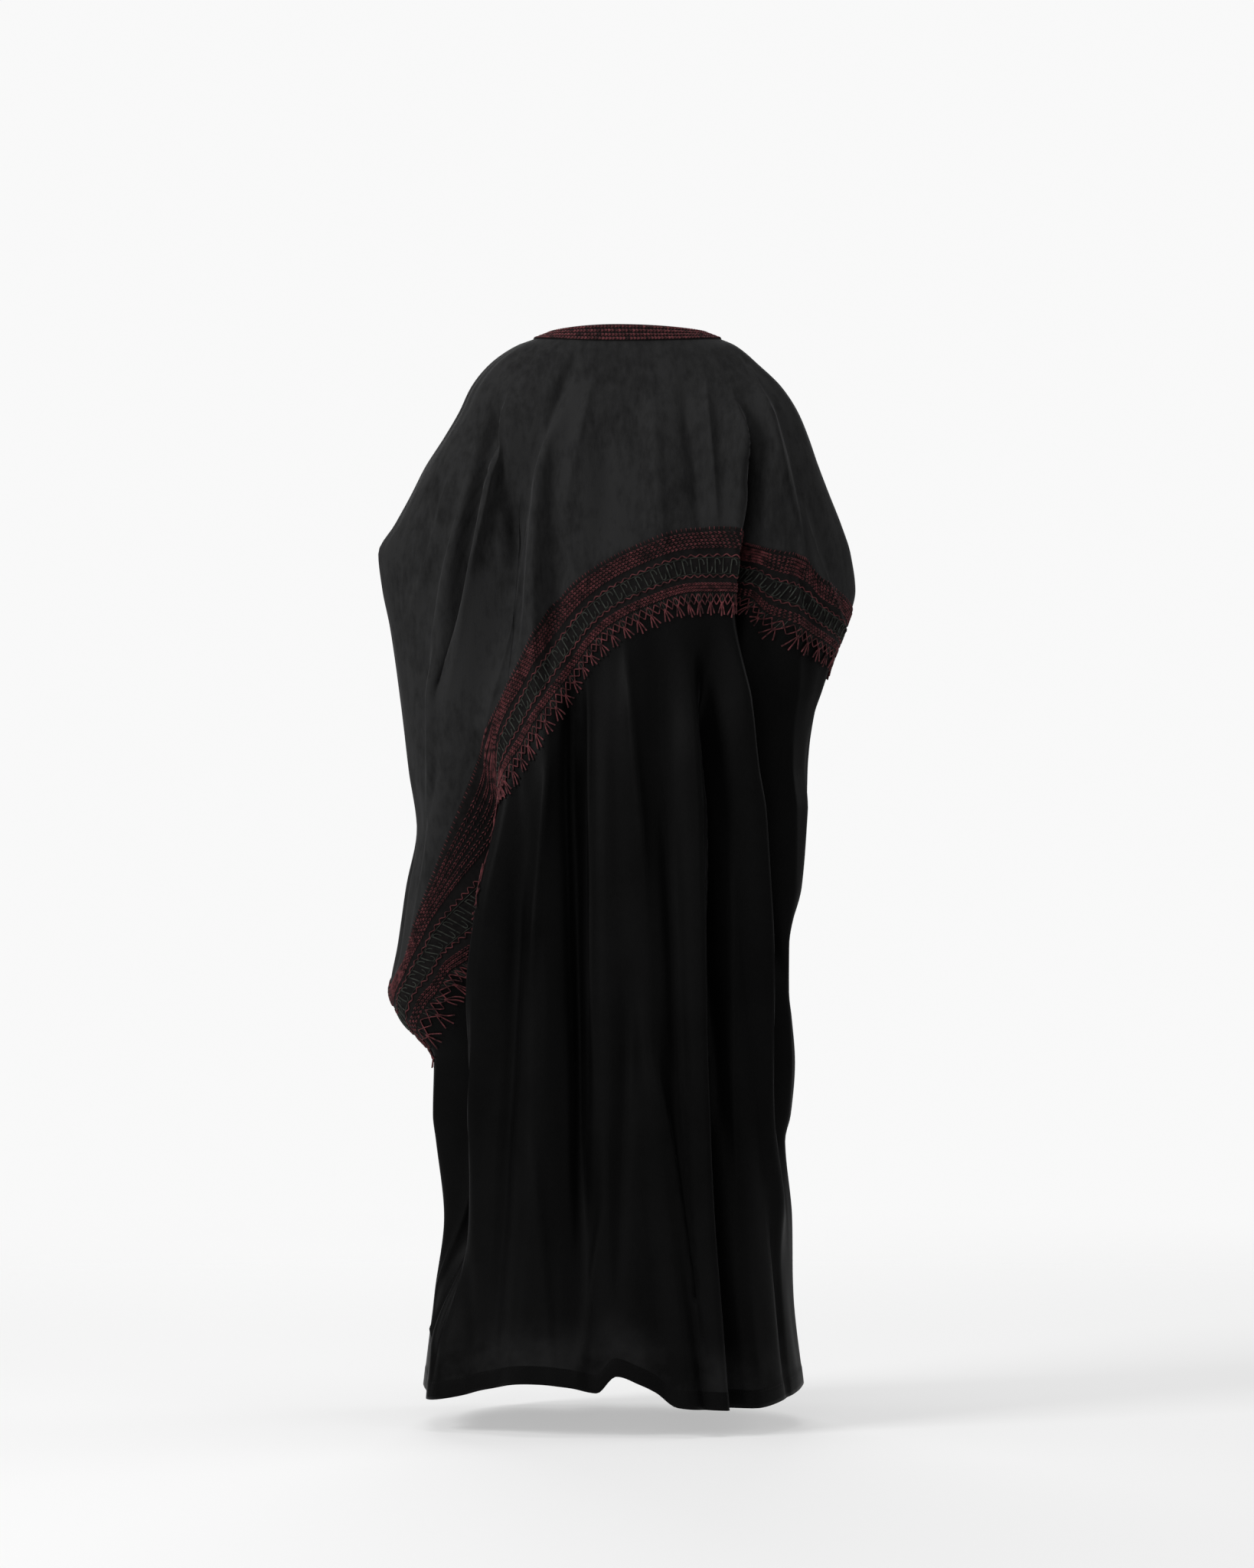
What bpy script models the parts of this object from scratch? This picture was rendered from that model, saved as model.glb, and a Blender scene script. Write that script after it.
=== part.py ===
# Abaya cloak: an open-fronted cloak of two cloths, joined under a slanting embroidered braid.
# Metres, +Z up. The front faces -Y and the wearer's left is +X.
# The origin is at the height of the neck edge, between the shoulders.
# Rings round the body are named by their drop below the neck, and places on a ring by an angle:
# 0 is the centre front, 90 the wearer's left side, 180 the centre back, 270 the right side.

import bpy
import numpy as np
from mathutils import Vector
from mathutils.bvhtree import BVHTree

# Cloth, braid and seams

clothWall = 0.0016
seamGap = 0.0003
braidWall = 0.0012
steepest = 7.0
frontOpening = 0.004
neckTrimDrop = 0.011

# Tassels along the lower edge of the braid

tasselLength = 0.019
tasselStripGap = 0.0006
tasselStrip = 0.006
tasselStripShare = 0.3
tasselRoots = (0.25, 0.75)
tasselZone = 0.027
tasselLift = 0.0042
tasselTipShare = 0.55
tasselClearance = 0.00025

# Side seams and the hand openings in them

seamAngleAtNeck = 84.0
seamAngleBelow = 74.0
handOpening = {"top": 0.49, "bottom": 0.71, "halfWidth": 0.026}

# How the rows share out the height above and below the braid

rowsAbove = (0.08, 0.20, 0.33, 0.46, 0.56, 0.66, 0.76, 0.88, 1.0)
rowsBelow = (0.08, 0.17, 0.27, 0.38, 0.50, 0.62, 0.75, 0.88, 1.0)

# The long folds that each panel's columns follow, in the order of the ring, and the cells between them

panelGuides = {
    "front_left": (("left front valley", 4), ("left front ridge", 3),
                   ("left front wing valley", 5), ("", 5)),
    "back": (("left arm ridge", 8), ("left wing valley", 7), ("left skirt ridge", 8),
             ("centre-left ridge", 4), ("centre-left valley", 3), ("step ridge", 7),
             ("step valley", 3), ("right skirt ridge", 3), ("right wing valley", 4), ("", 8)),
    "front_right": (("right front wing valley", 5), ("right front ridge", 5),
                    ("right front valley", 3), ("", 4)),
}
leastStep = 2.0

# The outline seen from the back, at each drop: the half-widths on the wearer's left and right

squareness = 2.3
outline = {
    "drop":  (0.000, 0.011, 0.022, 0.050, 0.080, 0.115, 0.150, 0.190, 0.230,
              0.270, 0.310, 0.360, 0.410, 0.460, 0.520, 0.610, 0.690, 0.770,
              0.850, 0.914, 0.950, 1.010, 1.085, 1.120, 1.227, 1.330, 1.475),
    "left":  (0.092, 0.115, 0.137, 0.176, 0.200, 0.217, 0.238, 0.264, 0.284,
              0.306, 0.329, 0.324, 0.314, 0.306, 0.298, 0.287, 0.276, 0.291,
              0.303, 0.313, 0.298, 0.252, 0.254, 0.250, 0.238, 0.251, 0.268),
    "right": (0.122, 0.144, 0.163, 0.197, 0.228, 0.251, 0.266, 0.280, 0.295,
              0.311, 0.324, 0.330, 0.316, 0.297, 0.279, 0.267, 0.263, 0.256,
              0.237, 0.238, 0.242, 0.246, 0.240, 0.232, 0.241, 0.243, 0.260),
}

# The cloak under the arms' wings: half-widths to the left and right, and depths at the back and front

body = {
    "drop":  (0.000, 0.011, 0.022, 0.050, 0.080, 0.115, 0.150, 0.190,
              0.270, 0.360, 0.600, 0.900, 1.100, 1.300, 1.475),
    "left":  (0.092, 0.115, 0.137, 0.176, 0.200, 0.217, 0.238, 0.262,
              0.285, 0.292, 0.278, 0.258, 0.250, 0.250, 0.266),
    "right": (0.122, 0.144, 0.163, 0.197, 0.228, 0.251, 0.264, 0.276,
              0.288, 0.290, 0.262, 0.243, 0.240, 0.243, 0.258),
    "back":  (0.072, 0.082, 0.088, 0.098, 0.108, 0.117, 0.123, 0.128,
              0.134, 0.141, 0.166, 0.191, 0.206, 0.223, 0.240),
    "front": (0.085, 0.095, 0.103, 0.115, 0.128, 0.140, 0.152, 0.163,
              0.182, 0.200, 0.214, 0.222, 0.233, 0.251, 0.270),
}
wingHalfAngle = 34

# Height of each ring over the shoulders: it lies lower at the back and the front than at the sides

shoulders = {
    "drop":  (0.000, 0.011, 0.022, 0.050, 0.080, 0.115, 0.150, 0.190, 0.230, 0.270, 0.310, 0.360, 1.600),
    "side":  (0.006, 0.014, 0.022, 0.050, 0.080, 0.115, 0.150, 0.190, 0.230, 0.270, 0.310, 0.360, 1.600),
    "back":  (-0.002, 0.021, 0.036, 0.064, 0.095, 0.128, 0.160, 0.197, 0.234, 0.272, 0.310, 0.360, 1.600),
    "front": (0.075, 0.095, 0.108, 0.132, 0.155, 0.180, 0.205, 0.232, 0.258, 0.288, 0.318, 0.360, 1.600),
}

# A row for each fold: its name, the side it is on, the drops where it starts, is full, fades and ends,
# its distance from the centre line at the start, half-way and at the end, its half-width and its height

foldColumns = ("name", "side", "start", "full", "fade", "end",
               "xStart", "xMiddle", "xEnd", "halfAngle", "height")
foldRows = (
    ("left arm ridge",         "back", 0.05, 0.20, 0.70, 0.95, 0.128, 0.232, 0.252, 11, 0.026),
    ("left arm outer valley",  "back", 0.08, 0.16, 0.30, 0.55, 0.155, 0.200, 0.270, 7, -0.016),
    ("left arm inner valley",  "back", 0.10, 0.20, 0.40, 0.62, 0.140, 0.155, 0.200, 8, -0.022),
    ("left shoulder ridge",    "back", 0.08, 0.16, 0.34, 0.50, 0.082, 0.102, 0.116, 6, 0.012),
    ("left wing valley",       "back", 0.50, 0.80, 1.12, 1.40, 0.205, 0.232, 0.235, 19, -0.110),
    ("left skirt ridge",       "back", 0.55, 0.80, 1.55, 1.80, 0.143, 0.215, 0.258, 12, 0.020),
    ("centre-left valley",     "back", 0.35, 0.60, 1.30, 1.60, 0.052, 0.052, 0.025, 9, -0.015),
    ("centre-left ridge",      "back", 0.40, 0.60, 1.35, 1.60, 0.085, 0.105, 0.135, 9, 0.012),
    ("centre ridge",           "back", 0.35, 0.55, 0.95, 1.20, -0.008, -0.036, -0.050, 8, 0.009),
    ("step ridge",             "back", 0.42, 0.60, 1.60, 1.80, -0.100, -0.117, -0.178, 7, 0.018),
    ("step valley",            "back", 0.40, 0.60, 1.50, 1.80, -0.130, -0.142, -0.196, 7, -0.036),
    ("curved ridge",           "back", 0.95, 1.12, 1.60, 1.80, -0.042, -0.085, -0.135, 6, 0.012),
    ("right skirt ridge",      "back", 0.38, 0.56, 1.10, 1.30, -0.163, -0.197, -0.226, 9, 0.022),
    ("right wing valley",      "back", 0.16, 0.62, 0.98, 1.22, -0.190, -0.222, -0.226, 13, -0.075),
    ("right arm valley",       "back", 0.12, 0.20, 0.45, 0.60, -0.178, -0.190, -0.205, 6, -0.026),
    ("right shoulder ridge",   "back", 0.08, 0.14, 0.28, 0.42, -0.157, -0.166, -0.176, 6, 0.013),
    ("right arm ridge",        "back", 0.05, 0.13, 0.26, 0.42, -0.187, -0.228, -0.262, 8, 0.012),
    ("left forearm lift",      "front", 0.20, 0.40, 0.52, 0.90, 0.200, 0.215, 0.215, 26, 0.060),
    ("right forearm lift",     "front", 0.20, 0.40, 0.52, 0.90, -0.200, -0.215, -0.215, 26, 0.060),
    ("left front wing valley", "front", 0.60, 0.85, 1.10, 1.40, 0.215, 0.225, 0.220, 17, -0.085),
    ("right front wing valley", "front", 0.60, 0.85, 1.05, 1.35, -0.215, -0.225, -0.215, 16, -0.075),
    ("left front ridge",       "front", 0.16, 0.40, 1.60, 1.80, 0.095, 0.110, 0.170, 9, 0.018),
    ("right front ridge",      "front", 0.18, 0.42, 1.60, 1.80, -0.090, -0.118, -0.165, 9, 0.019),
    ("left front valley",      "front", 0.20, 0.45, 1.50, 1.80, 0.055, 0.062, 0.095, 8, -0.020),
    ("right front valley",     "front", 0.22, 0.48, 1.50, 1.80, -0.050, -0.066, -0.100, 8, -0.019),
    ("left edge ridge",        "front", 0.60, 0.90, 1.60, 1.80, 0.022, 0.026, 0.040, 7, 0.010),
)
folds = {row[0]: dict(zip(foldColumns, row)) for row in foldRows}

# Where the braid's two edges run: the side, the distance from the centre line and the drop

braidTopRows = (
    ("front", 0.000, 0.520), ("front", 0.060, 0.575), ("front", 0.140, 0.665), ("front", 0.220, 0.790),
    ("back", 0.312, 0.905), ("back", 0.295, 0.873), ("back", 0.279, 0.822), ("back", 0.238, 0.711),
    ("back", 0.197, 0.609), ("back", 0.162, 0.522), ("back", 0.108, 0.414), ("back", 0.074, 0.370),
    ("back", 0.040, 0.340), ("back", -0.026, 0.303), ("back", -0.092, 0.280), ("back", -0.150, 0.276),
    ("back", -0.199, 0.304), ("back", -0.260, 0.320), ("back", -0.284, 0.350), ("back", -0.325, 0.387),
    ("front", -0.220, 0.405), ("front", -0.140, 0.430), ("front", -0.060, 0.478), ("front", 0.000, 0.520),
)
braidBottomRows = (
    ("front", 0.000, 0.640), ("front", 0.060, 0.705), ("front", 0.140, 0.810), ("front", 0.220, 0.925),
    ("back", 0.252, 1.010), ("back", 0.236, 0.944), ("back", 0.215, 0.905), ("back", 0.186, 0.800),
    ("back", 0.160, 0.660), ("back", 0.130, 0.600), ("back", 0.107, 0.563), ("back", 0.071, 0.516),
    ("back", 0.040, 0.468), ("back", 0.009, 0.433), ("back", -0.038, 0.407), ("back", -0.108, 0.386),
    ("back", -0.169, 0.386), ("back", -0.203, 0.416), ("back", -0.262, 0.439), ("back", -0.296, 0.462),
    ("front", -0.220, 0.510), ("front", -0.140, 0.543), ("front", -0.060, 0.592), ("front", 0.000, 0.640),
)

# How low the hem hangs at each angle

hemLine = {
    "angle": (0, 40, 90, 120, 140, 154, 165, 174, 180,
              187, 192, 198, 208, 224, 241, 270, 320, 360),
    "drop":  (1.462, 1.468, 1.456, 1.466, 1.447, 1.437, 1.441, 1.449, 1.426,
              1.437, 1.448, 1.468, 1.472, 1.474, 1.465, 1.451, 1.466, 1.462),
}

finishes = {
    "charcoal_cloth": {"colour": (0.020, 0.020, 0.020, 1), "roughness": 0.85},
    "black_cloth": {"colour": (0.004, 0.004, 0.004, 1), "roughness": 0.60},
    "maroon_braid": {"colour": (0.070, 0.018, 0.020, 1), "roughness": 0.80},
    "maroon_tassel": {"colour": (0.090, 0.022, 0.025, 1), "roughness": 0.80},
}


def smoothCurve(places, values, at):
    """Gives a curve through the values that never overshoots them."""
    places = np.array(places, float)
    values = np.array(values, float)
    steps = np.diff(values) / np.diff(places)
    slopes = np.concatenate((steps[:1], np.zeros(len(places) - 2), steps[-1:]))
    for i in range(1, len(places) - 1):
        if steps[i - 1] * steps[i] > 0:
            slopes[i] = 2 * steps[i - 1] * steps[i] / (steps[i - 1] + steps[i])
    i = np.clip(np.searchsorted(places, at) - 1, 0, len(places) - 2)
    span = places[i + 1] - places[i]
    t = np.clip((at - places[i]) / span, 0, 1)
    return (values[i] * (1 + 2 * t) * (1 - t) ** 2 + values[i + 1] * t * t * (3 - 2 * t)
            + span * slopes[i] * t * (1 - t) ** 2 - span * slopes[i + 1] * t * t * (1 - t))


def across(table, name, drop):
    """Gives one of a table's sizes at a drop."""
    return smoothCurve(table["drop"], table[name], drop)


def rise(start, end, at):
    """Eases from 0 to 1 between two drops."""
    t = np.clip((at - start) / (end - start), 0, 1)
    return t * t * (3 - 2 * t)


def ringAngle(side, x, drop):
    """Finds the angle of a point of the unfolded ring, from its distance to the centre line."""
    width = np.where(np.asarray(x) > 0, across(body, "left", drop), across(body, "right", drop))
    share = np.clip(np.abs(x) / width, 0, 0.999)
    turn = np.degrees(np.arctan2(share, (1 - share ** squareness) ** (1 / squareness))) * np.sign(x)
    return 180 - turn if side == "back" else turn % 360


def foldAngle(fold, drop):
    """Gives the angle where a fold runs at a drop; above its start it runs straight up the ring."""
    drop = np.clip(drop, fold["start"], fold["end"])
    middle = (fold["start"] + fold["end"]) / 2
    places = (fold["start"], middle, fold["end"])
    x = smoothCurve(places, (fold["xStart"], fold["xMiddle"], fold["xEnd"]), drop)
    return ringAngle(fold["side"], x, drop)


def foldHeight(angle, drop):
    """Adds up how far the folds push the cloth out, or in, at a place."""
    total = np.zeros(np.broadcast(angle, drop).shape)
    for fold in folds.values():
        away = np.abs((angle - foldAngle(fold, drop) + 180) % 360 - 180) / fold["halfAngle"]
        strength = rise(fold["start"], fold["full"], drop) * (1 - rise(fold["fade"], fold["end"], drop))
        total = total + fold["height"] * strength * np.clip(1 - away ** 2, 0, None) ** 2
    return total


def wingHeight(angle, drop):
    """Gives how far the cloth over each arm reaches out of the body ring, to the outline."""
    left = np.clip(1 - ((angle % 360 - 90) / wingHalfAngle) ** 2, 0, None) ** 2
    right = np.clip(1 - ((angle % 360 - 270) / wingHalfAngle) ** 2, 0, None) ** 2
    return (left * (across(outline, "left", drop) - across(body, "left", drop))
            + right * (across(outline, "right", drop) - across(body, "right", drop)))


def foldedRing(angle, drop):
    """Gives the ring's plan with its wings and folds, before it is fitted to the outline."""
    side = np.sin(np.radians(angle))
    fore = np.cos(np.radians(angle))
    bulge = (np.abs(side) ** squareness + np.abs(fore) ** squareness) ** (-1 / squareness)
    x = bulge * side * np.where(side > 0, across(body, "left", drop), across(body, "right", drop))
    y = -bulge * fore * np.where(fore > 0, across(body, "front", drop), across(body, "back", drop))
    scale = 1 + (foldHeight(angle, drop) + wingHeight(angle, drop)) / np.hypot(x, y)
    return x * scale, y * scale


def outlineFit():
    """Works out how much each ring is widened, so that its folds end on the outline."""
    drops = np.linspace(0, 1.5, 151)
    x, y = foldedRing(np.arange(0, 360, 2.0)[None, :], drops[:, None])
    left = across(outline, "left", drops) / x.max(axis=1)
    right = across(outline, "right", drops) / -x.min(axis=1)
    return drops, left, right


fitDrops, fitLeft, fitRight = outlineFit()


def surface(angle, drop):
    """Gives the points of the cloth's outer face, as an array with x, y and z last."""
    angle, drop = np.broadcast_arrays(np.asarray(angle, float), np.asarray(drop, float))
    x, y = foldedRing(angle, drop)
    x = x * np.where(x > 0, np.interp(drop, fitDrops, fitLeft), np.interp(drop, fitDrops, fitRight))
    fore = np.cos(np.radians(angle))
    level = {name: across(shoulders, name, drop) for name in ("side", "back", "front")}
    middle = np.where(fore > 0, level["front"], level["back"])
    z = -(level["side"] * (1 - fore ** 2) + middle * fore ** 2)
    return np.stack((x, y, z), axis=-1)


def slopes(angle, drop):
    """Gives the directions of the surface along the ring and down the cloth."""
    along = (surface(angle + 0.2, drop) - surface(angle - 0.2, drop)) / 0.4
    down = (surface(angle, drop + 0.001) - surface(angle, np.maximum(drop - 0.001, 0)))
    return along, down / np.linalg.norm(down, axis=-1, keepdims=True)


def outward(angle, drop):
    """Gives the unit normals that point out of the cloak."""
    along, down = slopes(angle, drop)
    normal = np.cross(down, along)
    return normal / np.linalg.norm(normal, axis=-1, keepdims=True)


def seenAngle(side, x, drop):
    """Finds the angle where the folded cloth, seen from its own side, lies at a distance x."""
    sweep = np.arange(90.0, 270.5, 0.5) if side == "back" else np.arange(-90.0, 90.5, 0.5)
    points = surface(sweep % 360, drop)
    near = points[:, 1] if side == "back" else -points[:, 1]
    return sweep[np.argmin(np.abs(points[:, 0] - x) - 0.03 * near)] % 360


def edgeLine(rows):
    """Turns the rows of a braid edge into angles and drops in the order of the ring."""
    places = sorted((seenAngle(side, x, drop), drop) for side, x, drop in rows[1:-1])
    angles = [0.0] + [angle for angle, drop in places] + [360.0]
    drops = [rows[0][2]] + [drop for angle, drop in places] + [rows[-1][2]]
    return angles, drops


topLine = edgeLine(braidTopRows)
bottomLine = edgeLine(braidBottomRows)


def columnAngle(panel, fraction, drop):
    """Gives the angle of a panel's column at a drop, between the panel's two edges."""
    seam = seamAngleAtNeck + (seamAngleBelow - seamAngleAtNeck) * rise(0.05, 0.40, drop)
    along = np.clip((drop - handOpening["top"]) / (handOpening["bottom"] - handOpening["top"]), 0, 1)
    half = seamGap / 2 + handOpening["halfWidth"] * np.sin(np.pi * along)
    gap = np.degrees(half / across(body, "left", drop))
    opening = ringAngle("front", frontOpening / 2, drop)
    start, end = {
        "front_left": (opening, seam - gap),
        "back": (seam + gap, 360 - seam - gap),
        "front_right": (360 - seam + gap, 360 - opening),
    }[panel]
    guides = [foldAngle(folds[name], drop) for name, cells in panelGuides[panel][:-1]] + [end]
    cells = np.cumsum([0] + [cells for name, cells in panelGuides[panel]])
    angle = start
    reached = start
    for k, guide in enumerate(guides):
        room = leastStep * (len(guides) - 1 - k)
        guide = np.minimum(np.maximum(guide, reached + leastStep), end - room)
        share = np.clip((fraction * cells[-1] - cells[k]) / (cells[k + 1] - cells[k]), 0, 1)
        angle = angle + (guide - reached) * share
        reached = guide
    return angle


def crossing(panel, fractions, line):
    """Finds the drop where each column of a panel meets a line round the cloak."""
    high = np.full(len(fractions), 0.2)
    low = np.full(len(fractions), 1.5)
    for step in range(30):
        middle = (high + low) / 2
        above = middle < smoothCurve(*line, columnAngle(panel, fractions, middle))
        high = np.where(above, middle, high)
        low = np.where(above, low, middle)
    return (high + low) / 2


def steepness(panel, fractions, drops, line):
    """Gives how much drop a column needs for a step square to a line round the cloak."""
    angle = columnAngle(panel, fractions, drops)
    before, after = [surface(angle + turn, smoothCurve(*line, np.clip(angle + turn, 0, 360)))
                     for turn in (-0.5, 0.5)]
    run = after - before
    step = 0.002
    above, below = [surface(columnAngle(panel, fractions, drops + move), drops + move)
                    for move in (-step, step)]
    square = np.linalg.norm(np.cross(run, below - above), axis=1) / np.linalg.norm(run, axis=1)
    return np.minimum(2 * step / square, steepest)


def braidRows(panel, fractions):
    """Gives the drops of the braid's top, middle and bottom, and the steepness of its middle and bottom."""
    top = crossing(panel, fractions, topLine)
    bottom = crossing(panel, fractions, bottomLine)
    middle = (top + bottom) / 2
    steepTop = steepness(panel, fractions, top, topLine)
    steepBottom = steepness(panel, fractions, bottom, bottomLine)
    return top, middle, bottom, np.maximum(steepTop, steepBottom), steepBottom


def panelFractions(panel):
    """Spreads a panel's columns between its edges."""
    return np.linspace(0, 1, sum(cells for name, cells in panelGuides[panel]) + 1)


def upperDrops(panel):
    """Lists the rows of an upper panel, from the neck to the seam under the braid."""
    top, middle, bottom, steep, steepBottom = braidRows(panel, panelFractions(panel))
    above = [neckTrimDrop + (top - neckTrimDrop) * share for share in rowsAbove]
    return np.array([0 * top, 0 * top + neckTrimDrop] + above
                    + [(top + middle) / 2, middle - steep * seamGap / 2])


def lowerDrops(panel):
    """Lists the rows of a lower panel, from the seam under the braid to the hem."""
    top, middle, bottom, steep, steepBottom = braidRows(panel, panelFractions(panel))
    zone = bottom + np.minimum(tasselZone * steepBottom, 0.05)
    hem = crossing(panel, panelFractions(panel), (hemLine["angle"], hemLine["drop"]))
    below = [zone + (hem - zone) * share for share in rowsBelow]
    return np.array([middle + steep * seamGap / 2, (middle + bottom) / 2, bottom,
                     bottom + steepBottom * tasselStrip, zone] + below)


def panelPoints(panel, drops, lift=0.0):
    """Gives a panel's points at its rows, moved out from the cloth by a lift."""
    angles = columnAngle(panel, panelFractions(panel)[None, :], drops)
    return surface(angles, drops) + outward(angles, drops) * lift


def makeMaterial(name):
    """Makes a plain finish from its colour and roughness."""
    material = bpy.data.materials.new(name)
    material.use_nodes = True
    shader = material.node_tree.nodes["Principled BSDF"]
    shader.inputs["Base Color"].default_value = finishes[name]["colour"]
    shader.inputs["Roughness"].default_value = finishes[name]["roughness"]
    material.diffuse_color = finishes[name]["colour"]
    return material


def addObject(name, points, faces, material):
    """Links a named mesh into the cloak's collection."""
    mesh = bpy.data.meshes.new(name)
    mesh.from_pydata([tuple(point) for point in points], [], faces)
    mesh.materials.append(material)
    made = bpy.data.objects.new(name, mesh)
    cloak.objects.link(made)
    return made


def makeWall(name, outer, inner, material):
    """Makes a closed wall of cloth between an outer and an inner grid of points."""
    rows, columns = outer.shape[:2]
    inside = rows * columns
    faces = []
    for i in range(rows - 1):
        for j in range(columns - 1):
            a = i * columns + j
            b = a + columns + 1
            faces += [(a, a + columns, b), (a, b, a + 1)]
            faces += [(inside + a, inside + b, inside + a + columns)]
            faces += [(inside + a, inside + a + 1, inside + b)]
    for a, b in [(j, j + 1) for j in range(columns - 1)]:
        low = (rows - 1) * columns
        faces += [(a, b, inside + b), (a, inside + b, inside + a)]
        faces += [(low + b, low + a, inside + low + b), (inside + low + b, low + a, inside + low + a)]
    for a in range(0, (rows - 1) * columns, columns):
        b = a + columns
        far = columns - 1
        faces += [(b, a, inside + b), (inside + b, a, inside + a)]
        faces += [(far + a, far + b, inside + far + b), (far + a, inside + far + b, inside + far + a)]
    return addObject(name, np.concatenate((outer.reshape(-1, 3), inner.reshape(-1, 3))), faces, material)


def makePanels(panel):
    """Makes the upper and lower cloth of one panel."""
    for name, drops, cloth in (("_upper", upperDrops(panel), charcoal),
                               ("_lower", lowerDrops(panel), black)):
        outer = panelPoints(panel, drops)
        makeWall(panel + name, outer, panelPoints(panel, drops, -clothWall), cloth)


def makeBraid(panel):
    """Lays the braid of one panel over the seam between its two cloths."""
    top, middle, bottom = braidRows(panel, panelFractions(panel))[:3]
    drops = np.array([top, (top + middle) / 2, middle, (middle + bottom) / 2, bottom])
    outer = panelPoints(panel, drops, seamGap + braidWall)
    makeWall("braid_" + panel, outer, panelPoints(panel, drops, seamGap), maroon)


def tasselTips(panel, fractions, drops):
    """Gives the middle of each tassel's tip, square to the braid and off the cloth, and its normal."""
    angles = columnAngle(panel, fractions, drops)
    points = surface(angles, drops)
    hang = np.cross(np.gradient(points, axis=0), outward(angles, drops))
    hang = hang / np.linalg.norm(hang, axis=1, keepdims=True) * tasselLength
    along, down = slopes(angles, drops)
    moves = np.array([np.linalg.lstsq(np.stack((along[k], down[k]), axis=1), hang[k], rcond=None)[0]
                      for k in range(len(points))])
    normals = outward(angles + moves[:, 0], drops + moves[:, 1])
    return surface(angles + moves[:, 0], drops + moves[:, 1]) + normals * tasselLift, normals


def clothTree():
    """Gathers the faces of every piece made so far, to test what lies on them."""
    points = []
    faces = []
    for piece in cloak.objects:
        first = len(points)
        points.extend(vertex.co for vertex in piece.data.vertices)
        faces.extend([first + k for k in polygon.vertices] for polygon in piece.data.polygons)
    return BVHTree.FromPolygons(points, faces)


def isClear(tree, roots, tips):
    """Says whether a tassel stands clear of the cloth and braid from its roots to its tip."""
    for side in ((0, 3), (1, 2)):
        for share in (0.0, 0.25, 0.5, 0.75, 1.0):
            root = roots[side[0]] * (1 - share) + roots[side[1]] * share
            for far in (share, 1 - share):
                way = tips[side[0]] * (1 - far) + tips[side[1]] * far - root
                if tree.ray_cast(Vector(root), Vector(way).normalized(), np.linalg.norm(way))[0]:
                    return False
                for reached in (0.15, 0.35, 0.55, 0.75, 1.0):
                    point = Vector(root + way * reached)
                    place, normal = tree.find_nearest(point)[:2]
                    if (point - place).dot(normal) < tasselClearance:
                        return False
    return np.linalg.norm(tips[0] - roots[0]) < 1.3 * tasselLength


def stripEdges(panel, lift):
    """Gives the strip's upper points and its lower ones, where each cell has a tassel's two roots."""
    bottom, steepBottom = braidRows(panel, panelFractions(panel))[2::2]
    high, low = panelPoints(panel, np.array([bottom, bottom + steepBottom * tasselStrip]), lift)
    edge = [low[:1]]
    for j in range(len(low) - 1):
        edge += [low[j] + (low[j + 1] - low[j]) * share for share in tasselRoots] + [low[j + 1]]
    return low + (high - low) * tasselStripShare, np.vstack(edge)


def makeTassels(panel, tree):
    """Makes a narrow strip under the braid's lower edge, with a tassel at the middle of each cell."""
    halves = stripEdges(panel, tasselStripGap + braidWall) + stripEdges(panel, tasselStripGap)
    points = list(np.vstack(halves))
    cells = len(halves[0]) - 1
    outTop, outLow, inTop, inLow, end = np.cumsum([0] + [len(half) for half in halves]).tolist()
    faces = [(outTop, inTop, inLow, outLow), (outLow - 1, inTop - 1, end - 1, inLow - 1)]
    fractions = (panelFractions(panel)[:-1] + panelFractions(panel)[1:]) / 2
    bottom, steepBottom = braidRows(panel, fractions)[2::2]
    tips, normals = tasselTips(panel, fractions, bottom + steepBottom * tasselStrip)
    for j in range(cells):
        a, b, c, d = outTop + j, outLow + 3 * j, inTop + j, inLow + 3 * j
        faces += [(a, b, b + 1), (a, b + 1, b + 2), (a, b + 2, b + 3), (a, b + 3, a + 1)]
        faces += [(c, d + 1, d), (c, d + 2, d + 1), (c, d + 3, d + 2), (c, c + 1, d + 3)]
        faces += [(a, a + 1, c + 1, c), (b, d, d + 1, b + 1), (b + 2, d + 2, d + 3, b + 3)]
        root = (b + 1, d + 1, d + 2, b + 2)
        spread = (points[root[3]] - points[root[0]]) / 2 * tasselTipShare
        thick = normals[j] * braidWall / 2
        ends = [tips[j] - spread + thick, tips[j] - spread - thick,
                tips[j] + spread - thick, tips[j] + spread + thick]
        if not isClear(tree, [points[k] for k in root], ends):
            faces.append(root)
            continue
        first = len(points)
        points.extend(ends)
        for k in range(4):
            near, far = first + k, first + (k + 1) % 4
            faces += [(root[k], root[(k + 1) % 4], far), (root[k], far, near)]
        faces.append((first, first + 1, first + 2, first + 3))
    addObject("tassels_" + panel, points, faces, tassel)


def makeNeckTrim():
    """Lays the narrow braid round the neck, from one front edge to the other."""
    angles = []
    for panel in panelGuides:
        angles.extend(columnAngle(panel, panelFractions(panel)[:-1], 0.0))
    angles.append(columnAngle("front_right", 1.0, 0.0))
    angles = np.array(angles)[None, :]
    drops = np.array([0.0, neckTrimDrop])[:, None]
    base = surface(angles, drops)
    normals = outward(angles, drops)
    makeWall("neck_trim", base + normals * (seamGap + braidWall), base + normals * seamGap, maroon)


for old in list(bpy.data.objects):
    bpy.data.objects.remove(old, do_unlink=True)

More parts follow.
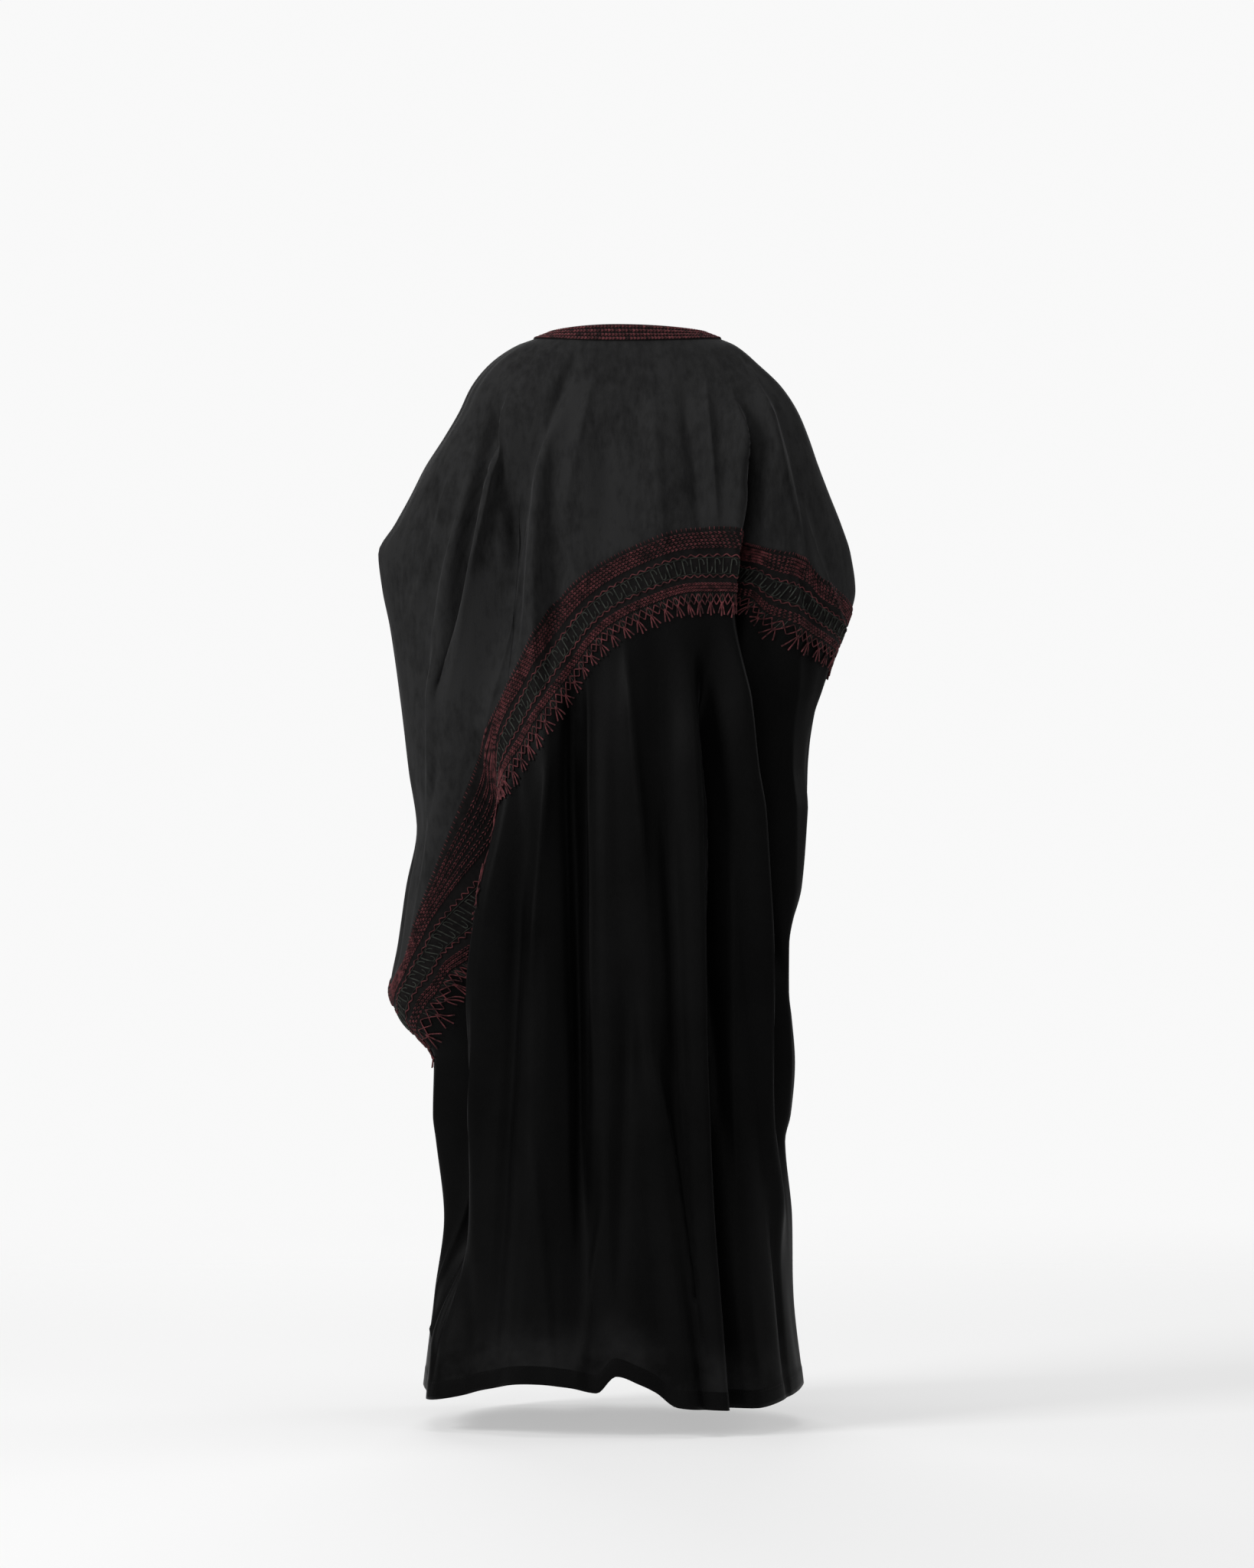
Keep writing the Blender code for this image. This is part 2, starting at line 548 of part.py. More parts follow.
cloak = bpy.data.collections.new("abaya_cloak")
bpy.context.scene.collection.children.link(cloak)
charcoal = makeMaterial("charcoal_cloth")
black = makeMaterial("black_cloth")
maroon = makeMaterial("maroon_braid")
tassel = makeMaterial("maroon_tassel")

for panel in panelGuides:
    makePanels(panel)
    makeBraid(panel)
makeNeckTrim()
cloth = clothTree()
for panel in panelGuides:
    makeTassels(panel, cloth)
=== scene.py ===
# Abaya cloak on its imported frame: napped charcoal cloth over black crepe, joined under a
# slanting embroidered braid with small tassels. Metres, +Z up, the front faces -Y.
# Angles go round the cloak: 0 centre front, 90 its left side, 180 centre back, 270 right.

import bpy
import numpy as np
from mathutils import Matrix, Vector


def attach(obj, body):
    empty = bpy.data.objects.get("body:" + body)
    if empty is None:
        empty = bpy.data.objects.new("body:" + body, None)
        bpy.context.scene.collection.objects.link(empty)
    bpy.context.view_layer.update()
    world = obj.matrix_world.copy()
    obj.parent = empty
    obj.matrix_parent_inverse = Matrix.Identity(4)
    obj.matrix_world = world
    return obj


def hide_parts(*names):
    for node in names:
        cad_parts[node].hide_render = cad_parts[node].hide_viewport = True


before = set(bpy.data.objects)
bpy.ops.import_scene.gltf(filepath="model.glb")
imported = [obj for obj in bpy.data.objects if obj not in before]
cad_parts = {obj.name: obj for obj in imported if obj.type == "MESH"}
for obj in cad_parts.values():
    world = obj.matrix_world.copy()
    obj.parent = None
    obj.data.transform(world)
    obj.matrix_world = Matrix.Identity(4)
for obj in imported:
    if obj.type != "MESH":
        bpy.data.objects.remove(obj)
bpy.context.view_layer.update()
print("frame loaded")

# the cloak's cut and drape, as in the solids
cut = {
    "seamLap": 0.0008,  # the cloths lap at the side seams, so no light shows through them
    "frontOpening": 0.004,
    "neckTrimDrop": 0.011,
    "seamAngleAtNeck": 84.0,
    "seamAngleBelow": 74.0,
    "handTop": 0.49,
    "handBottom": 0.71,
    "handHalfWidth": 0.026,
    "squareness": 2.3,
    "wingHalfAngle": 34,
}

# the folds that a panel's columns follow, each with the share of columns up to it
panelGuides = {
    "front_left": (("left front valley", 4), ("left front ridge", 3), ("left front wing valley", 5),
                   ("", 5)),
    "back": (("left arm ridge", 8), ("left wing valley", 7), ("left skirt ridge", 8),
             ("centre-left ridge", 4), ("centre-left valley", 3), ("step ridge", 7), ("step valley", 3),
             ("right skirt ridge", 3), ("right wing valley", 4), ("", 8)),
    "front_right": (("right front wing valley", 5), ("right front ridge", 5), ("right front valley", 3),
                    ("", 4)),
}
leastStep = 2.0  # degrees from one guide to the next

# half-widths of the whole cloak, half-widths and depths of its body ring, and how far down the
# shoulders each drop lies, all at the drops named
outline = {
    "drop":  (0.000, 0.011, 0.022, 0.050, 0.080, 0.115, 0.150, 0.190, 0.230, 0.270, 0.310, 0.360, 0.410,
              0.460, 0.520, 0.610, 0.690, 0.770, 0.850, 0.914, 0.950, 1.010, 1.085, 1.120, 1.227, 1.330,
              1.475),
    "left":  (0.092, 0.115, 0.137, 0.176, 0.200, 0.217, 0.238, 0.264, 0.284, 0.306, 0.329, 0.324, 0.314,
              0.306, 0.298, 0.287, 0.276, 0.291, 0.303, 0.313, 0.298, 0.252, 0.254, 0.250, 0.238, 0.251,
              0.268),
    "right": (0.122, 0.144, 0.163, 0.197, 0.228, 0.251, 0.266, 0.280, 0.295, 0.311, 0.324, 0.330, 0.316,
              0.297, 0.279, 0.267, 0.263, 0.256, 0.237, 0.238, 0.242, 0.246, 0.240, 0.232, 0.241, 0.243,
              0.260),
}

body = {
    "drop":  (0.000, 0.011, 0.022, 0.050, 0.080, 0.115, 0.150, 0.190, 0.270, 0.360, 0.600, 0.900, 1.100,
              1.300, 1.475),
    "left":  (0.092, 0.115, 0.137, 0.176, 0.200, 0.217, 0.238, 0.262, 0.285, 0.292, 0.278, 0.258, 0.250,
              0.250, 0.266),
    "right": (0.122, 0.144, 0.163, 0.197, 0.228, 0.251, 0.264, 0.276, 0.288, 0.290, 0.262, 0.243, 0.240,
              0.243, 0.258),
    "back":  (0.072, 0.082, 0.088, 0.098, 0.108, 0.117, 0.123, 0.128, 0.134, 0.141, 0.166, 0.191, 0.206,
              0.223, 0.240),
    "front": (0.085, 0.095, 0.103, 0.115, 0.128, 0.140, 0.152, 0.163, 0.182, 0.200, 0.214, 0.222, 0.233,
              0.251, 0.270),
}

shoulders = {
    "drop":  (0.000, 0.011, 0.022, 0.050, 0.080, 0.115, 0.150, 0.190, 0.230, 0.270, 0.310, 0.360, 1.600),
    "side":  (0.006, 0.014, 0.022, 0.050, 0.080, 0.115, 0.150, 0.190, 0.230, 0.270, 0.310, 0.360, 1.600),
    "back":  (-0.002, 0.021, 0.036, 0.064, 0.095, 0.128, 0.160, 0.197, 0.234, 0.272, 0.310, 0.360, 1.600),
    "front": (0.075, 0.095, 0.108, 0.132, 0.155, 0.180, 0.205, 0.232, 0.258, 0.288, 0.318, 0.360, 1.600),
}

# the largest folds: drops where each starts, is full, fades and ends, its distance from the
# centre line at the start, half-way and the end, its half-width in degrees and its height
foldColumns = ("start", "full", "fade", "end", "xStart", "xMiddle", "xEnd", "halfAngle", "height")
foldRows = {
    "back": {
        "left arm ridge": (0.05, 0.2, 0.7, 0.95, 0.128, 0.232, 0.252, 11, 0.026),
        "left arm outer valley": (0.08, 0.16, 0.3, 0.55, 0.155, 0.2, 0.27, 7, -0.016),
        "left arm inner valley": (0.1, 0.2, 0.4, 0.62, 0.14, 0.155, 0.2, 8, -0.022),
        "left shoulder ridge": (0.08, 0.16, 0.34, 0.5, 0.082, 0.102, 0.116, 6, 0.012),
        "left wing valley": (0.5, 0.8, 1.12, 1.4, 0.205, 0.232, 0.235, 19, -0.11),
        "left skirt ridge": (0.55, 0.8, 1.55, 1.8, 0.143, 0.215, 0.258, 12, 0.02),
        "centre-left valley": (0.35, 0.6, 1.3, 1.6, 0.052, 0.052, 0.025, 9, -0.015),
        "centre-left ridge": (0.4, 0.6, 1.35, 1.6, 0.085, 0.105, 0.135, 9, 0.012),
        "centre ridge": (0.35, 0.55, 0.95, 1.2, -0.008, -0.036, -0.05, 8, 0.009),
        "step ridge": (0.42, 0.6, 1.6, 1.8, -0.1, -0.117, -0.178, 7, 0.018),
        "step valley": (0.4, 0.6, 1.5, 1.8, -0.13, -0.142, -0.196, 7, -0.036),
        "curved ridge": (0.95, 1.12, 1.6, 1.8, -0.042, -0.085, -0.135, 6, 0.012),
        "right skirt ridge": (0.38, 0.56, 1.1, 1.3, -0.163, -0.197, -0.226, 9, 0.022),
        "right wing valley": (0.16, 0.62, 0.98, 1.22, -0.19, -0.222, -0.226, 13, -0.075),
        "right arm valley": (0.12, 0.2, 0.45, 0.6, -0.178, -0.19, -0.205, 6, -0.026),
        "right shoulder ridge": (0.08, 0.14, 0.28, 0.42, -0.157, -0.166, -0.176, 6, 0.013),
        "right arm ridge": (0.05, 0.13, 0.26, 0.42, -0.187, -0.228, -0.262, 8, 0.012),
    },
    "front": {
        "left forearm lift": (0.2, 0.4, 0.52, 0.9, 0.2, 0.215, 0.215, 26, 0.06),
        "right forearm lift": (0.2, 0.4, 0.52, 0.9, -0.2, -0.215, -0.215, 26, 0.06),
        "left front wing valley": (0.6, 0.85, 1.1, 1.4, 0.215, 0.225, 0.22, 17, -0.085),
        "right front wing valley": (0.6, 0.85, 1.05, 1.35, -0.215, -0.225, -0.215, 16, -0.075),
        "left front ridge": (0.16, 0.4, 1.6, 1.8, 0.095, 0.11, 0.17, 9, 0.018),
        "right front ridge": (0.18, 0.42, 1.6, 1.8, -0.09, -0.118, -0.165, 9, 0.019),
        "left front valley": (0.2, 0.45, 1.5, 1.8, 0.055, 0.062, 0.095, 8, -0.02),
        "right front valley": (0.22, 0.48, 1.5, 1.8, -0.05, -0.066, -0.1, 8, -0.019),
        "left edge ridge": (0.6, 0.9, 1.6, 1.8, 0.022, 0.026, 0.04, 7, 0.01),
    },
}
folds = {name: dict(zip(foldColumns, row), side=side) for side, rows in foldRows.items()
         for name, row in rows.items()}

# smaller creases: distance from the centre line at the start and the end,
# drops at the start and the end, half-width in degrees, height out (+) or depth in (-)
creaseRows = {
    "back": (
        (0.098, 0.112, 0.12, 0.5, 1.7, 0.005), (0.166, 0.158, 0.12, 0.24, 2.0, -0.006),
        (0.148, 0.152, 0.17, 0.33, 2.0, -0.007), (0.14, 0.225, 0.06, 0.55, 1.8, 0.0055),
        (0.06, 0.118, 0.03, 0.2, 2.6, -0.0045), (0.078, 0.092, 0.12, 0.46, 2.0, -0.006),
        (0.03, 0.078, 0.05, 0.27, 3.2, 0.003), (0.12, 0.2, 0.24, 0.62, 2.4, 0.0035),
        (0.07, 0.098, 0.26, 0.56, 2.2, -0.004), (0.19, 0.262, 0.34, 0.7, 2.6, -0.004),
        (0.215, 0.282, 0.16, 0.42, 2.4, 0.004), (0.01, 0.02, 0.1, 0.33, 4.0, -0.003),
        (-0.048, -0.066, 0.08, 0.34, 3.0, 0.0035), (-0.09, -0.118, 0.06, 0.3, 2.4, -0.004),
        (-0.12, -0.138, 0.05, 0.28, 2.2, 0.004), (-0.158, -0.172, 0.08, 0.3, 1.5, 0.0065),
        (-0.184, -0.2, 0.12, 0.52, 2.3, -0.017), (0.168, 0.238, 0.1, 0.54, 2.5, -0.0145),
        (0.15, 0.178, 0.14, 0.34, 1.6, -0.006), (-0.184, -0.234, 0.05, 0.27, 1.7, 0.006),
        (-0.252, -0.288, 0.24, 0.42, 2.0, 0.0045), (-0.215, -0.262, 0.2, 0.4, 2.2, -0.0035),
        (-0.176, -0.232, 0.36, 1.1, 1.6, 0.006), (-0.228, -0.238, 0.7, 0.9, 2.2, -0.0045),
        (-0.102, -0.18, 0.5, 1.48, 1.3, 0.0055), (-0.122, -0.158, 0.52, 1.2, 1.6, -0.006),
        (-0.05, -0.128, 1.0, 1.48, 1.3, 0.0045), (-0.066, -0.088, 0.6, 1.1, 2.2, -0.003),
        (-0.01, -0.04, 0.42, 0.8, 2.0, 0.0035), (-0.02, 0.004, 0.85, 1.4, 3.0, -0.0035),
        (0.062, 0.05, 0.4, 1.3, 2.0, -0.01), (0.043, 0.03, 0.4, 1.1, 1.5, 0.004),
        (0.086, 0.112, 0.56, 0.92, 1.9, 0.0045), (0.128, 0.168, 0.72, 1.44, 2.2, -0.004),
        (0.152, 0.262, 0.62, 1.48, 1.4, 0.006), (0.19, 0.236, 0.92, 1.46, 1.6, -0.006),
        (0.244, 0.25, 1.05, 1.46, 1.8, 0.0035), (0.108, 0.084, 1.1, 1.48, 2.4, 0.0035),
        (0.02, 0.06, 1.2, 1.48, 2.6, 0.003), (-0.205, -0.236, 1.15, 1.48, 2.0, -0.0045),
        (0.282, 0.3, 0.7, 0.9, 2.6, -0.004),
    ),
    "front": (
        (0.04, 0.07, 0.06, 0.4, 2.6, 0.004), (0.082, 0.108, 0.16, 0.8, 1.8, 0.005),
        (0.052, 0.07, 0.3, 1.0, 1.9, -0.005), (0.03, 0.034, 0.7, 1.46, 2.2, 0.0035),
        (0.12, 0.16, 0.6, 1.47, 1.7, 0.005), (0.15, 0.185, 0.3, 0.7, 2.4, -0.0045),
        (0.18, 0.2, 0.95, 1.46, 2.0, 0.0045), (0.215, 0.238, 0.72, 1.1, 2.2, -0.005),
        (0.15, 0.23, 0.1, 0.34, 2.2, 0.0045), (-0.034, -0.06, 0.05, 0.38, 2.8, 0.004),
        (-0.084, -0.118, 0.18, 0.86, 1.8, 0.0055), (-0.056, -0.078, 0.34, 1.1, 2.0, -0.005),
        (-0.028, -0.03, 0.8, 1.45, 2.4, 0.003), (-0.128, -0.158, 0.7, 1.47, 1.6, 0.005),
        (-0.15, -0.18, 0.24, 0.62, 2.6, -0.004), (-0.182, -0.205, 1.0, 1.46, 2.0, 0.0045),
        (-0.215, -0.226, 0.7, 1.05, 2.2, -0.0045), (-0.15, -0.222, 0.12, 0.32, 2.2, 0.005),
    ),
}

# the braid's two edges: side, distance from the centre line, drop
braidTopRows = (
    ("front", 0.000, 0.520), ("front", 0.060, 0.575), ("front", 0.140, 0.665), ("front", 0.220, 0.790),
    ("back", 0.312, 0.905), ("back", 0.295, 0.873), ("back", 0.279, 0.822), ("back", 0.238, 0.711),
    ("back", 0.197, 0.609), ("back", 0.162, 0.522), ("back", 0.108, 0.414), ("back", 0.074, 0.370),
    ("back", 0.040, 0.340), ("back", -0.026, 0.303), ("back", -0.092, 0.280), ("back", -0.150, 0.276),
    ("back", -0.199, 0.304), ("back", -0.260, 0.320), ("back", -0.284, 0.350), ("back", -0.325, 0.387),
    ("front", -0.220, 0.405), ("front", -0.140, 0.430), ("front", -0.060, 0.478), ("front", 0.000, 0.520),
)
braidBottomRows = (
    ("front", 0.000, 0.640), ("front", 0.060, 0.705), ("front", 0.140, 0.810), ("front", 0.220, 0.925),
    ("back", 0.252, 1.010), ("back", 0.236, 0.944), ("back", 0.215, 0.905), ("back", 0.186, 0.800),
    ("back", 0.160, 0.660), ("back", 0.130, 0.600), ("back", 0.107, 0.563), ("back", 0.071, 0.516),
    ("back", 0.040, 0.468), ("back", 0.009, 0.433), ("back", -0.038, 0.407), ("back", -0.108, 0.386),
    ("back", -0.169, 0.386), ("back", -0.203, 0.416), ("back", -0.262, 0.439), ("back", -0.296, 0.462),
    ("front", -0.220, 0.510), ("front", -0.140, 0.543), ("front", -0.060, 0.592), ("front", 0.000, 0.640),
)

hemLine = {
    "angle": (0, 40, 90, 120, 140, 154, 165, 174, 180, 187, 192, 198, 208, 224, 241, 270, 320, 360),
    "drop":  (1.462, 1.468, 1.456, 1.466, 1.447, 1.437, 1.441, 1.449, 1.426, 1.437, 1.448, 1.468, 1.472,
              1.474, 1.465, 1.451, 1.466, 1.462),
}


# a curve through the values that never overshoots them
def smoothCurve(places, values, at):
    places = np.array(places, float)
    values = np.array(values, float)
    steps = np.diff(values) / np.diff(places)
    slopes = np.concatenate((steps[:1], np.zeros(len(places) - 2), steps[-1:]))
    for i in range(1, len(places) - 1):
        if steps[i - 1] * steps[i] > 0:
            slopes[i] = 2 * steps[i - 1] * steps[i] / (steps[i - 1] + steps[i])
    i = np.clip(np.searchsorted(places, at) - 1, 0, len(places) - 2)
    span = places[i + 1] - places[i]
    t = np.clip((at - places[i]) / span, 0, 1)
    return (values[i] * (1 + 2 * t) * (1 - t) ** 2 + values[i + 1] * t * t * (3 - 2 * t)
            + span * slopes[i] * t * (1 - t) ** 2 - span * slopes[i + 1] * t * t * (1 - t))


def across(table, name, drop):
    return smoothCurve(table["drop"], table[name], drop)


def rise(start, end, at):  # eases from 0 to 1
    t = np.clip((at - start) / (end - start), 0, 1)
    return t * t * (3 - 2 * t)


# the angle of a point of the unfolded ring, from its distance to the centre line
def ringAngle(side, x, drop):
    width = np.where(np.asarray(x) > 0, across(body, "left", drop), across(body, "right", drop))
    share = np.clip(np.abs(x) / width, 0, 0.999)
    bulge = (1 - share ** cut["squareness"]) ** (1 / cut["squareness"])
    turn = np.degrees(np.arctan2(share, bulge)) * np.sign(x)
    return 180 - turn if side == "back" else turn % 360


def foldAngle(fold, drop):
    drop = np.clip(drop, fold["start"], fold["end"])
    middle = (fold["start"] + fold["end"]) / 2
    x = smoothCurve((fold["start"], middle, fold["end"]), (fold["xStart"], fold["xMiddle"], fold["xEnd"]),
                    drop)
    return ringAngle(fold["side"], x, drop)


def turnBetween(angle, other):  # how far apart two angles are, 0 to 180
    return np.abs((angle - other + 180) % 360 - 180)


def foldHeight(angle, drop):
    total = np.zeros(np.broadcast(angle, drop).shape)
    for fold in folds.values():
        away = turnBetween(angle, foldAngle(fold, drop)) / fold["halfAngle"]
        strength = rise(fold["start"], fold["full"], drop) * (1 - rise(fold["fade"], fold["end"], drop))
        total = total + fold["height"] * strength * np.clip(1 - away ** 2, 0, None) ** 2
    return total


# how far each wing reaches out of the body ring
def wingHeight(angle, drop):
    left = np.clip(1 - ((angle % 360 - 90) / cut["wingHalfAngle"]) ** 2, 0, None) ** 2
    right = np.clip(1 - ((angle % 360 - 270) / cut["wingHalfAngle"]) ** 2, 0, None) ** 2
    return (left * (across(outline, "left", drop) - across(body, "left", drop))
            + right * (across(outline, "right", drop) - across(body, "right", drop)))


def foldedRing(angle, drop):
    side = np.sin(np.radians(angle))
    fore = np.cos(np.radians(angle))
    power = cut["squareness"]
    bulge = (np.abs(side) ** power + np.abs(fore) ** power) ** (-1 / power)
    x = bulge * side * np.where(side > 0, across(body, "left", drop), across(body, "right", drop))
    y = -bulge * fore * np.where(fore > 0, across(body, "front", drop), across(body, "back", drop))
    scale = 1 + (foldHeight(angle, drop) + wingHeight(angle, drop)) / np.hypot(x, y)
    return x * scale, y * scale


def outlineFit():
    drops = np.linspace(0, 1.5, 151)
    x, y = foldedRing(np.arange(0, 360, 2.0)[None, :], drops[:, None])
    left = across(outline, "left", drops) / x.max(axis=1)
    return drops, left, across(outline, "right", drops) / -x.min(axis=1)


fitDrops, fitLeft, fitRight = outlineFit()


# points of the cloth, with x, y and z last
def surface(angle, drop):
    angle, drop = np.broadcast_arrays(np.asarray(angle, float), np.asarray(drop, float))
    x, y = foldedRing(angle, drop)
    x = x * np.where(x > 0, np.interp(drop, fitDrops, fitLeft), np.interp(drop, fitDrops, fitRight))
    fore = np.cos(np.radians(angle))
    side, back, front = (across(shoulders, name, drop) for name in ("side", "back", "front"))
    z = -(side * (1 - fore ** 2) + np.where(fore > 0, front, back) * fore ** 2)
    return np.stack((x, y, z), axis=-1)


def unit(vectors):
    return vectors / np.maximum(np.linalg.norm(vectors, axis=-1, keepdims=True), 1e-12)


def slopesOf(angle, drop):  # along the ring per degree, and down the cloth per metre
    along = (surface(angle + 0.2, drop) - surface(angle - 0.2, drop)) / 0.4
    above = np.maximum(drop - 0.001, 0)
    down = (surface(angle, drop + 0.001) - surface(angle, above)) / (drop + 0.001 - above)[..., None]
    return along, down


def outward(angle, drop):
    along, down = slopesOf(angle, drop)
    return unit(np.cross(down, along))


def seamAngle(drop):
    turn = cut["seamAngleBelow"] - cut["seamAngleAtNeck"]
    return cut["seamAngleAtNeck"] + turn * rise(0.05, 0.40, drop)


ripple = {
    "ridgeGain": 1.9,
    "valleyGain": 2.0,
    "crest": 0.18,  # the smaller, the crisper the ridges
    "sharpness": 1.5,
    "fadeShare": 0.3,
    "long": 0.0011,
    "rough": 0.0007,
    "seamPinch": 0.0016,
    "seamHalfAngle": 1.3,
}


def creaseShape(away, height):  # ridges have a crisp crest, valleys are round
    if height < 0:
        return ripple["valleyGain"] * np.exp(-away ** 2)
    crest = ripple["crest"]
    return ripple["ridgeGain"] * np.exp(ripple["sharpness"] * (crest - np.sqrt(away ** 2 + crest ** 2)))


# the smaller creases, a slight unevenness, and the pull of the two side seams
def creaseHeight(angle, drop):
    total = np.zeros(np.broadcast(angle, drop).shape)
    for side, rows in creaseRows.items():
        for xStart, xEnd, start, end, width, height in rows:
            share = np.clip((drop - start) / (end - start), 0, 1)
            middle = ringAngle(side, xStart + (xEnd - xStart) * share, drop)
            reach = (end - start) * ripple["fadeShare"]
            strength = rise(start - 0.02, start + reach, drop) * (1 - rise(end - reach, end + 0.03, drop))
            total = total + height * strength * creaseShape(turnBetween(angle, middle) / width, height)
    total = total + ripple["long"] * np.sin(np.radians(angle * 13 + 220 * drop)) * np.sin(5.1 * drop + 0.7)
    total = total + ripple["rough"] * np.sin(np.radians(angle * 29 - 610 * drop)) * np.sin(17 * drop)
    for place in (seamAngle(drop), 360 - seamAngle(drop)):
        away = turnBetween(angle, place) / ripple["seamHalfAngle"]
        total = total - ripple["seamPinch"] * np.exp(-away ** 2)
    return total * rise(0.0, 0.05, drop)


def clothPoint(angle, drop, lift=0.0):
    angle, drop = np.broadcast_arrays(np.asarray(angle, float), np.asarray(drop, float))
    normal = outward(angle, drop)
    height = creaseHeight(angle, drop) + lift
    return surface(angle, drop) + normal * height[..., None], normal


# where the folded cloth, seen from its own side, lies at a distance x
def seenAngle(side, x, drop):
    sweep = np.arange(90.0, 270.5, 0.5) if side == "back" else np.arange(-90.0, 90.5, 0.5)
    points = surface(sweep % 360, drop)
    near = points[:, 1] if side == "back" else -points[:, 1]
    return sweep[np.argmin(np.abs(points[:, 0] - x) - 0.03 * near)] % 360


def edgeLine(rows):
    places = sorted((seenAngle(side, x, drop), drop) for side, x, drop in rows[1:-1])
    angles = [0.0] + [angle for angle, drop in places] + [360.0]
    drops = [rows[0][2]] + [drop for angle, drop in places] + [rows[-1][2]]
    return angles, drops


topLine = edgeLine(braidTopRows)
bottomLine = edgeLine(braidBottomRows)


def panelEdges(panel, drop):
    seam = seamAngle(drop)
    along = np.clip((drop - cut["handTop"]) / (cut["handBottom"] - cut["handTop"]), 0, 1)
    half = cut["handHalfWidth"] * np.sin(np.pi * along) - cut["seamLap"] / 2
    gap = np.degrees(half / across(body, "left", drop))
    opening = ringAngle("front", cut["frontOpening"] / 2, drop)
    return {
        "front_left": (opening, seam - gap),
        "back": (seam + gap, 360 - seam - gap),
        "front_right": (360 - seam + gap, 360 - opening),
    }[panel]


# the angle of a panel's column at a drop: the columns follow the long folds
def columnAngle(panel, fraction, drop):
    start, end = panelEdges(panel, drop)
    guides = [foldAngle(folds[name], drop) for name, cells in panelGuides[panel][:-1]] + [end]
    cells = np.cumsum([0] + [cells for name, cells in panelGuides[panel]])
    angle = start
    reached = start
    for k, guide in enumerate(guides):
        room = leastStep * (len(guides) - 1 - k)
        guide = np.minimum(np.maximum(guide, reached + leastStep), end - room)
        share = np.clip((fraction * cells[-1] - cells[k]) / (cells[k + 1] - cells[k]), 0, 1)
        angle = angle + (guide - reached) * share
        reached = guide
    return angle


def crossing(panel, fractions, line):  # the drop where each column meets a line
    high = np.full(len(fractions), 0.2)
    low = np.full(len(fractions), 1.5)
    for step in range(30):
        middle = (high + low) / 2
        above = middle < smoothCurve(*line, columnAngle(panel, fractions, middle))
        high = np.where(above, middle, high)
        low = np.where(above, low, middle)
    return (high + low) / 2


def addObject(name, data):
    made = bpy.data.objects.new(name, data)
    bpy.context.scene.collection.objects.link(made)
    return made


def makeMesh(name, points, faces, material, smooth=True):
    mesh = bpy.data.meshes.new(name)
    mesh.from_pydata(np.asarray(points).tolist(), [], faces)
    mesh.materials.append(material)
    mesh.shade_smooth() if smooth else mesh.shade_flat()
    return addObject(name, mesh)


# every piece rides on the one body, and some take the place of a solid
def dress(made, node=None):
    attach(made, "root")
    if node:
        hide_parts(node)
    return made


# a closed shell between an outer and an inner grid, with a UV map in metres
def makeShell(name, outer, inner, uv, material):
    rows, columns = outer.shape[:2]
    inside = rows * columns
    index = np.arange(inside).reshape(rows, columns)
    a, b, c, d = index[:-1, :-1], index[1:, :-1], index[1:, 1:], index[:-1, 1:]
    front = np.stack((a, b, c, d), axis=-1).reshape(-1, 4)
    rims = []
    for edge, turned in ((index[0], False), (index[-1], True), (index[:, 0], True), (index[:, -1], False)):
        one, two = (edge[1:], edge[:-1]) if turned else (edge[:-1], edge[1:])
        rims.append(np.stack((one, two, two + inside, one + inside), axis=-1))
    faces = np.concatenate([front, front[:, ::-1] + inside] + rims)
    points = np.concatenate((outer.reshape(-1, 3), inner.reshape(-1, 3)))
    made = makeMesh(name, points, faces.tolist(), material)
    corners = np.zeros(len(made.data.loops), int)
    made.data.loops.foreach_get("vertex_index", corners)
    flat = np.concatenate((uv.reshape(-1, 2), uv.reshape(-1, 2)))
    made.data.uv_layers.new(name="cloth").data.foreach_set("uv", flat[corners].ravel())
    printSizes(made, outer)
    return made


def lengthAlong(points):  # metres along the last-but-one axis
    steps = np.linalg.norm(np.diff(points, axis=-2), axis=-1)
    return np.concatenate((np.zeros(steps.shape[:-1] + (1,)), np.cumsum(steps, axis=-1)), axis=-1)


def printSizes(made, outer):
    cells = np.cross(outer[1:, 1:] - outer[:-1, :-1], outer[1:, :-1] - outer[:-1, 1:])
    sizes = (np.linalg.norm(cells, axis=-1).sum() / 2, lengthAlong(outer)[:, -1].max(),
             lengthAlong(outer.swapaxes(0, 1))[:, -1].max())
    print("sheet", made.name, "area, longest row and column", [round(float(size), 3) for size in sizes])


print("surface worked out")


# a node with its settings and its inputs, each a value or another node's output
def setInputs(tree, node, inputs):
    for name, value in inputs.items():
        if isinstance(value, bpy.types.NodeSocket):
            tree.links.new(value, node.inputs[name])
        else:
            node.inputs[name].default_value = value


def nodeAt(tree, kind, x, y, inputs=None, **settings):
    node = tree.nodes.new(kind)
    node.location = (x, y)
    for name, value in settings.items():
        setattr(node, name, value)
    setInputs(tree, node, inputs or {})
    return node


def calculated(tree, x, y, operation, *values):
    node = nodeAt(tree, "ShaderNodeMath", x, y, dict(enumerate(values)), operation=operation)
    return node.outputs["Value"]


def mapped(tree, x, y, value, start=(0, 1), end=(0, 1), way="LINEAR"):
    inputs = dict(zip(("From Min", "From Max", "To Min", "To Max"), start + end), Value=value)
    return nodeAt(tree, "ShaderNodeMapRange", x, y, inputs, interpolation_type=way).outputs["Result"]


def addSockets(tree, way, kind, values):
    for name, value in values.items():
        socket = tree.interface.new_socket(name, in_out=way, socket_type=f"NodeSocket{kind}")
        if value is not None:
            socket.default_value = value


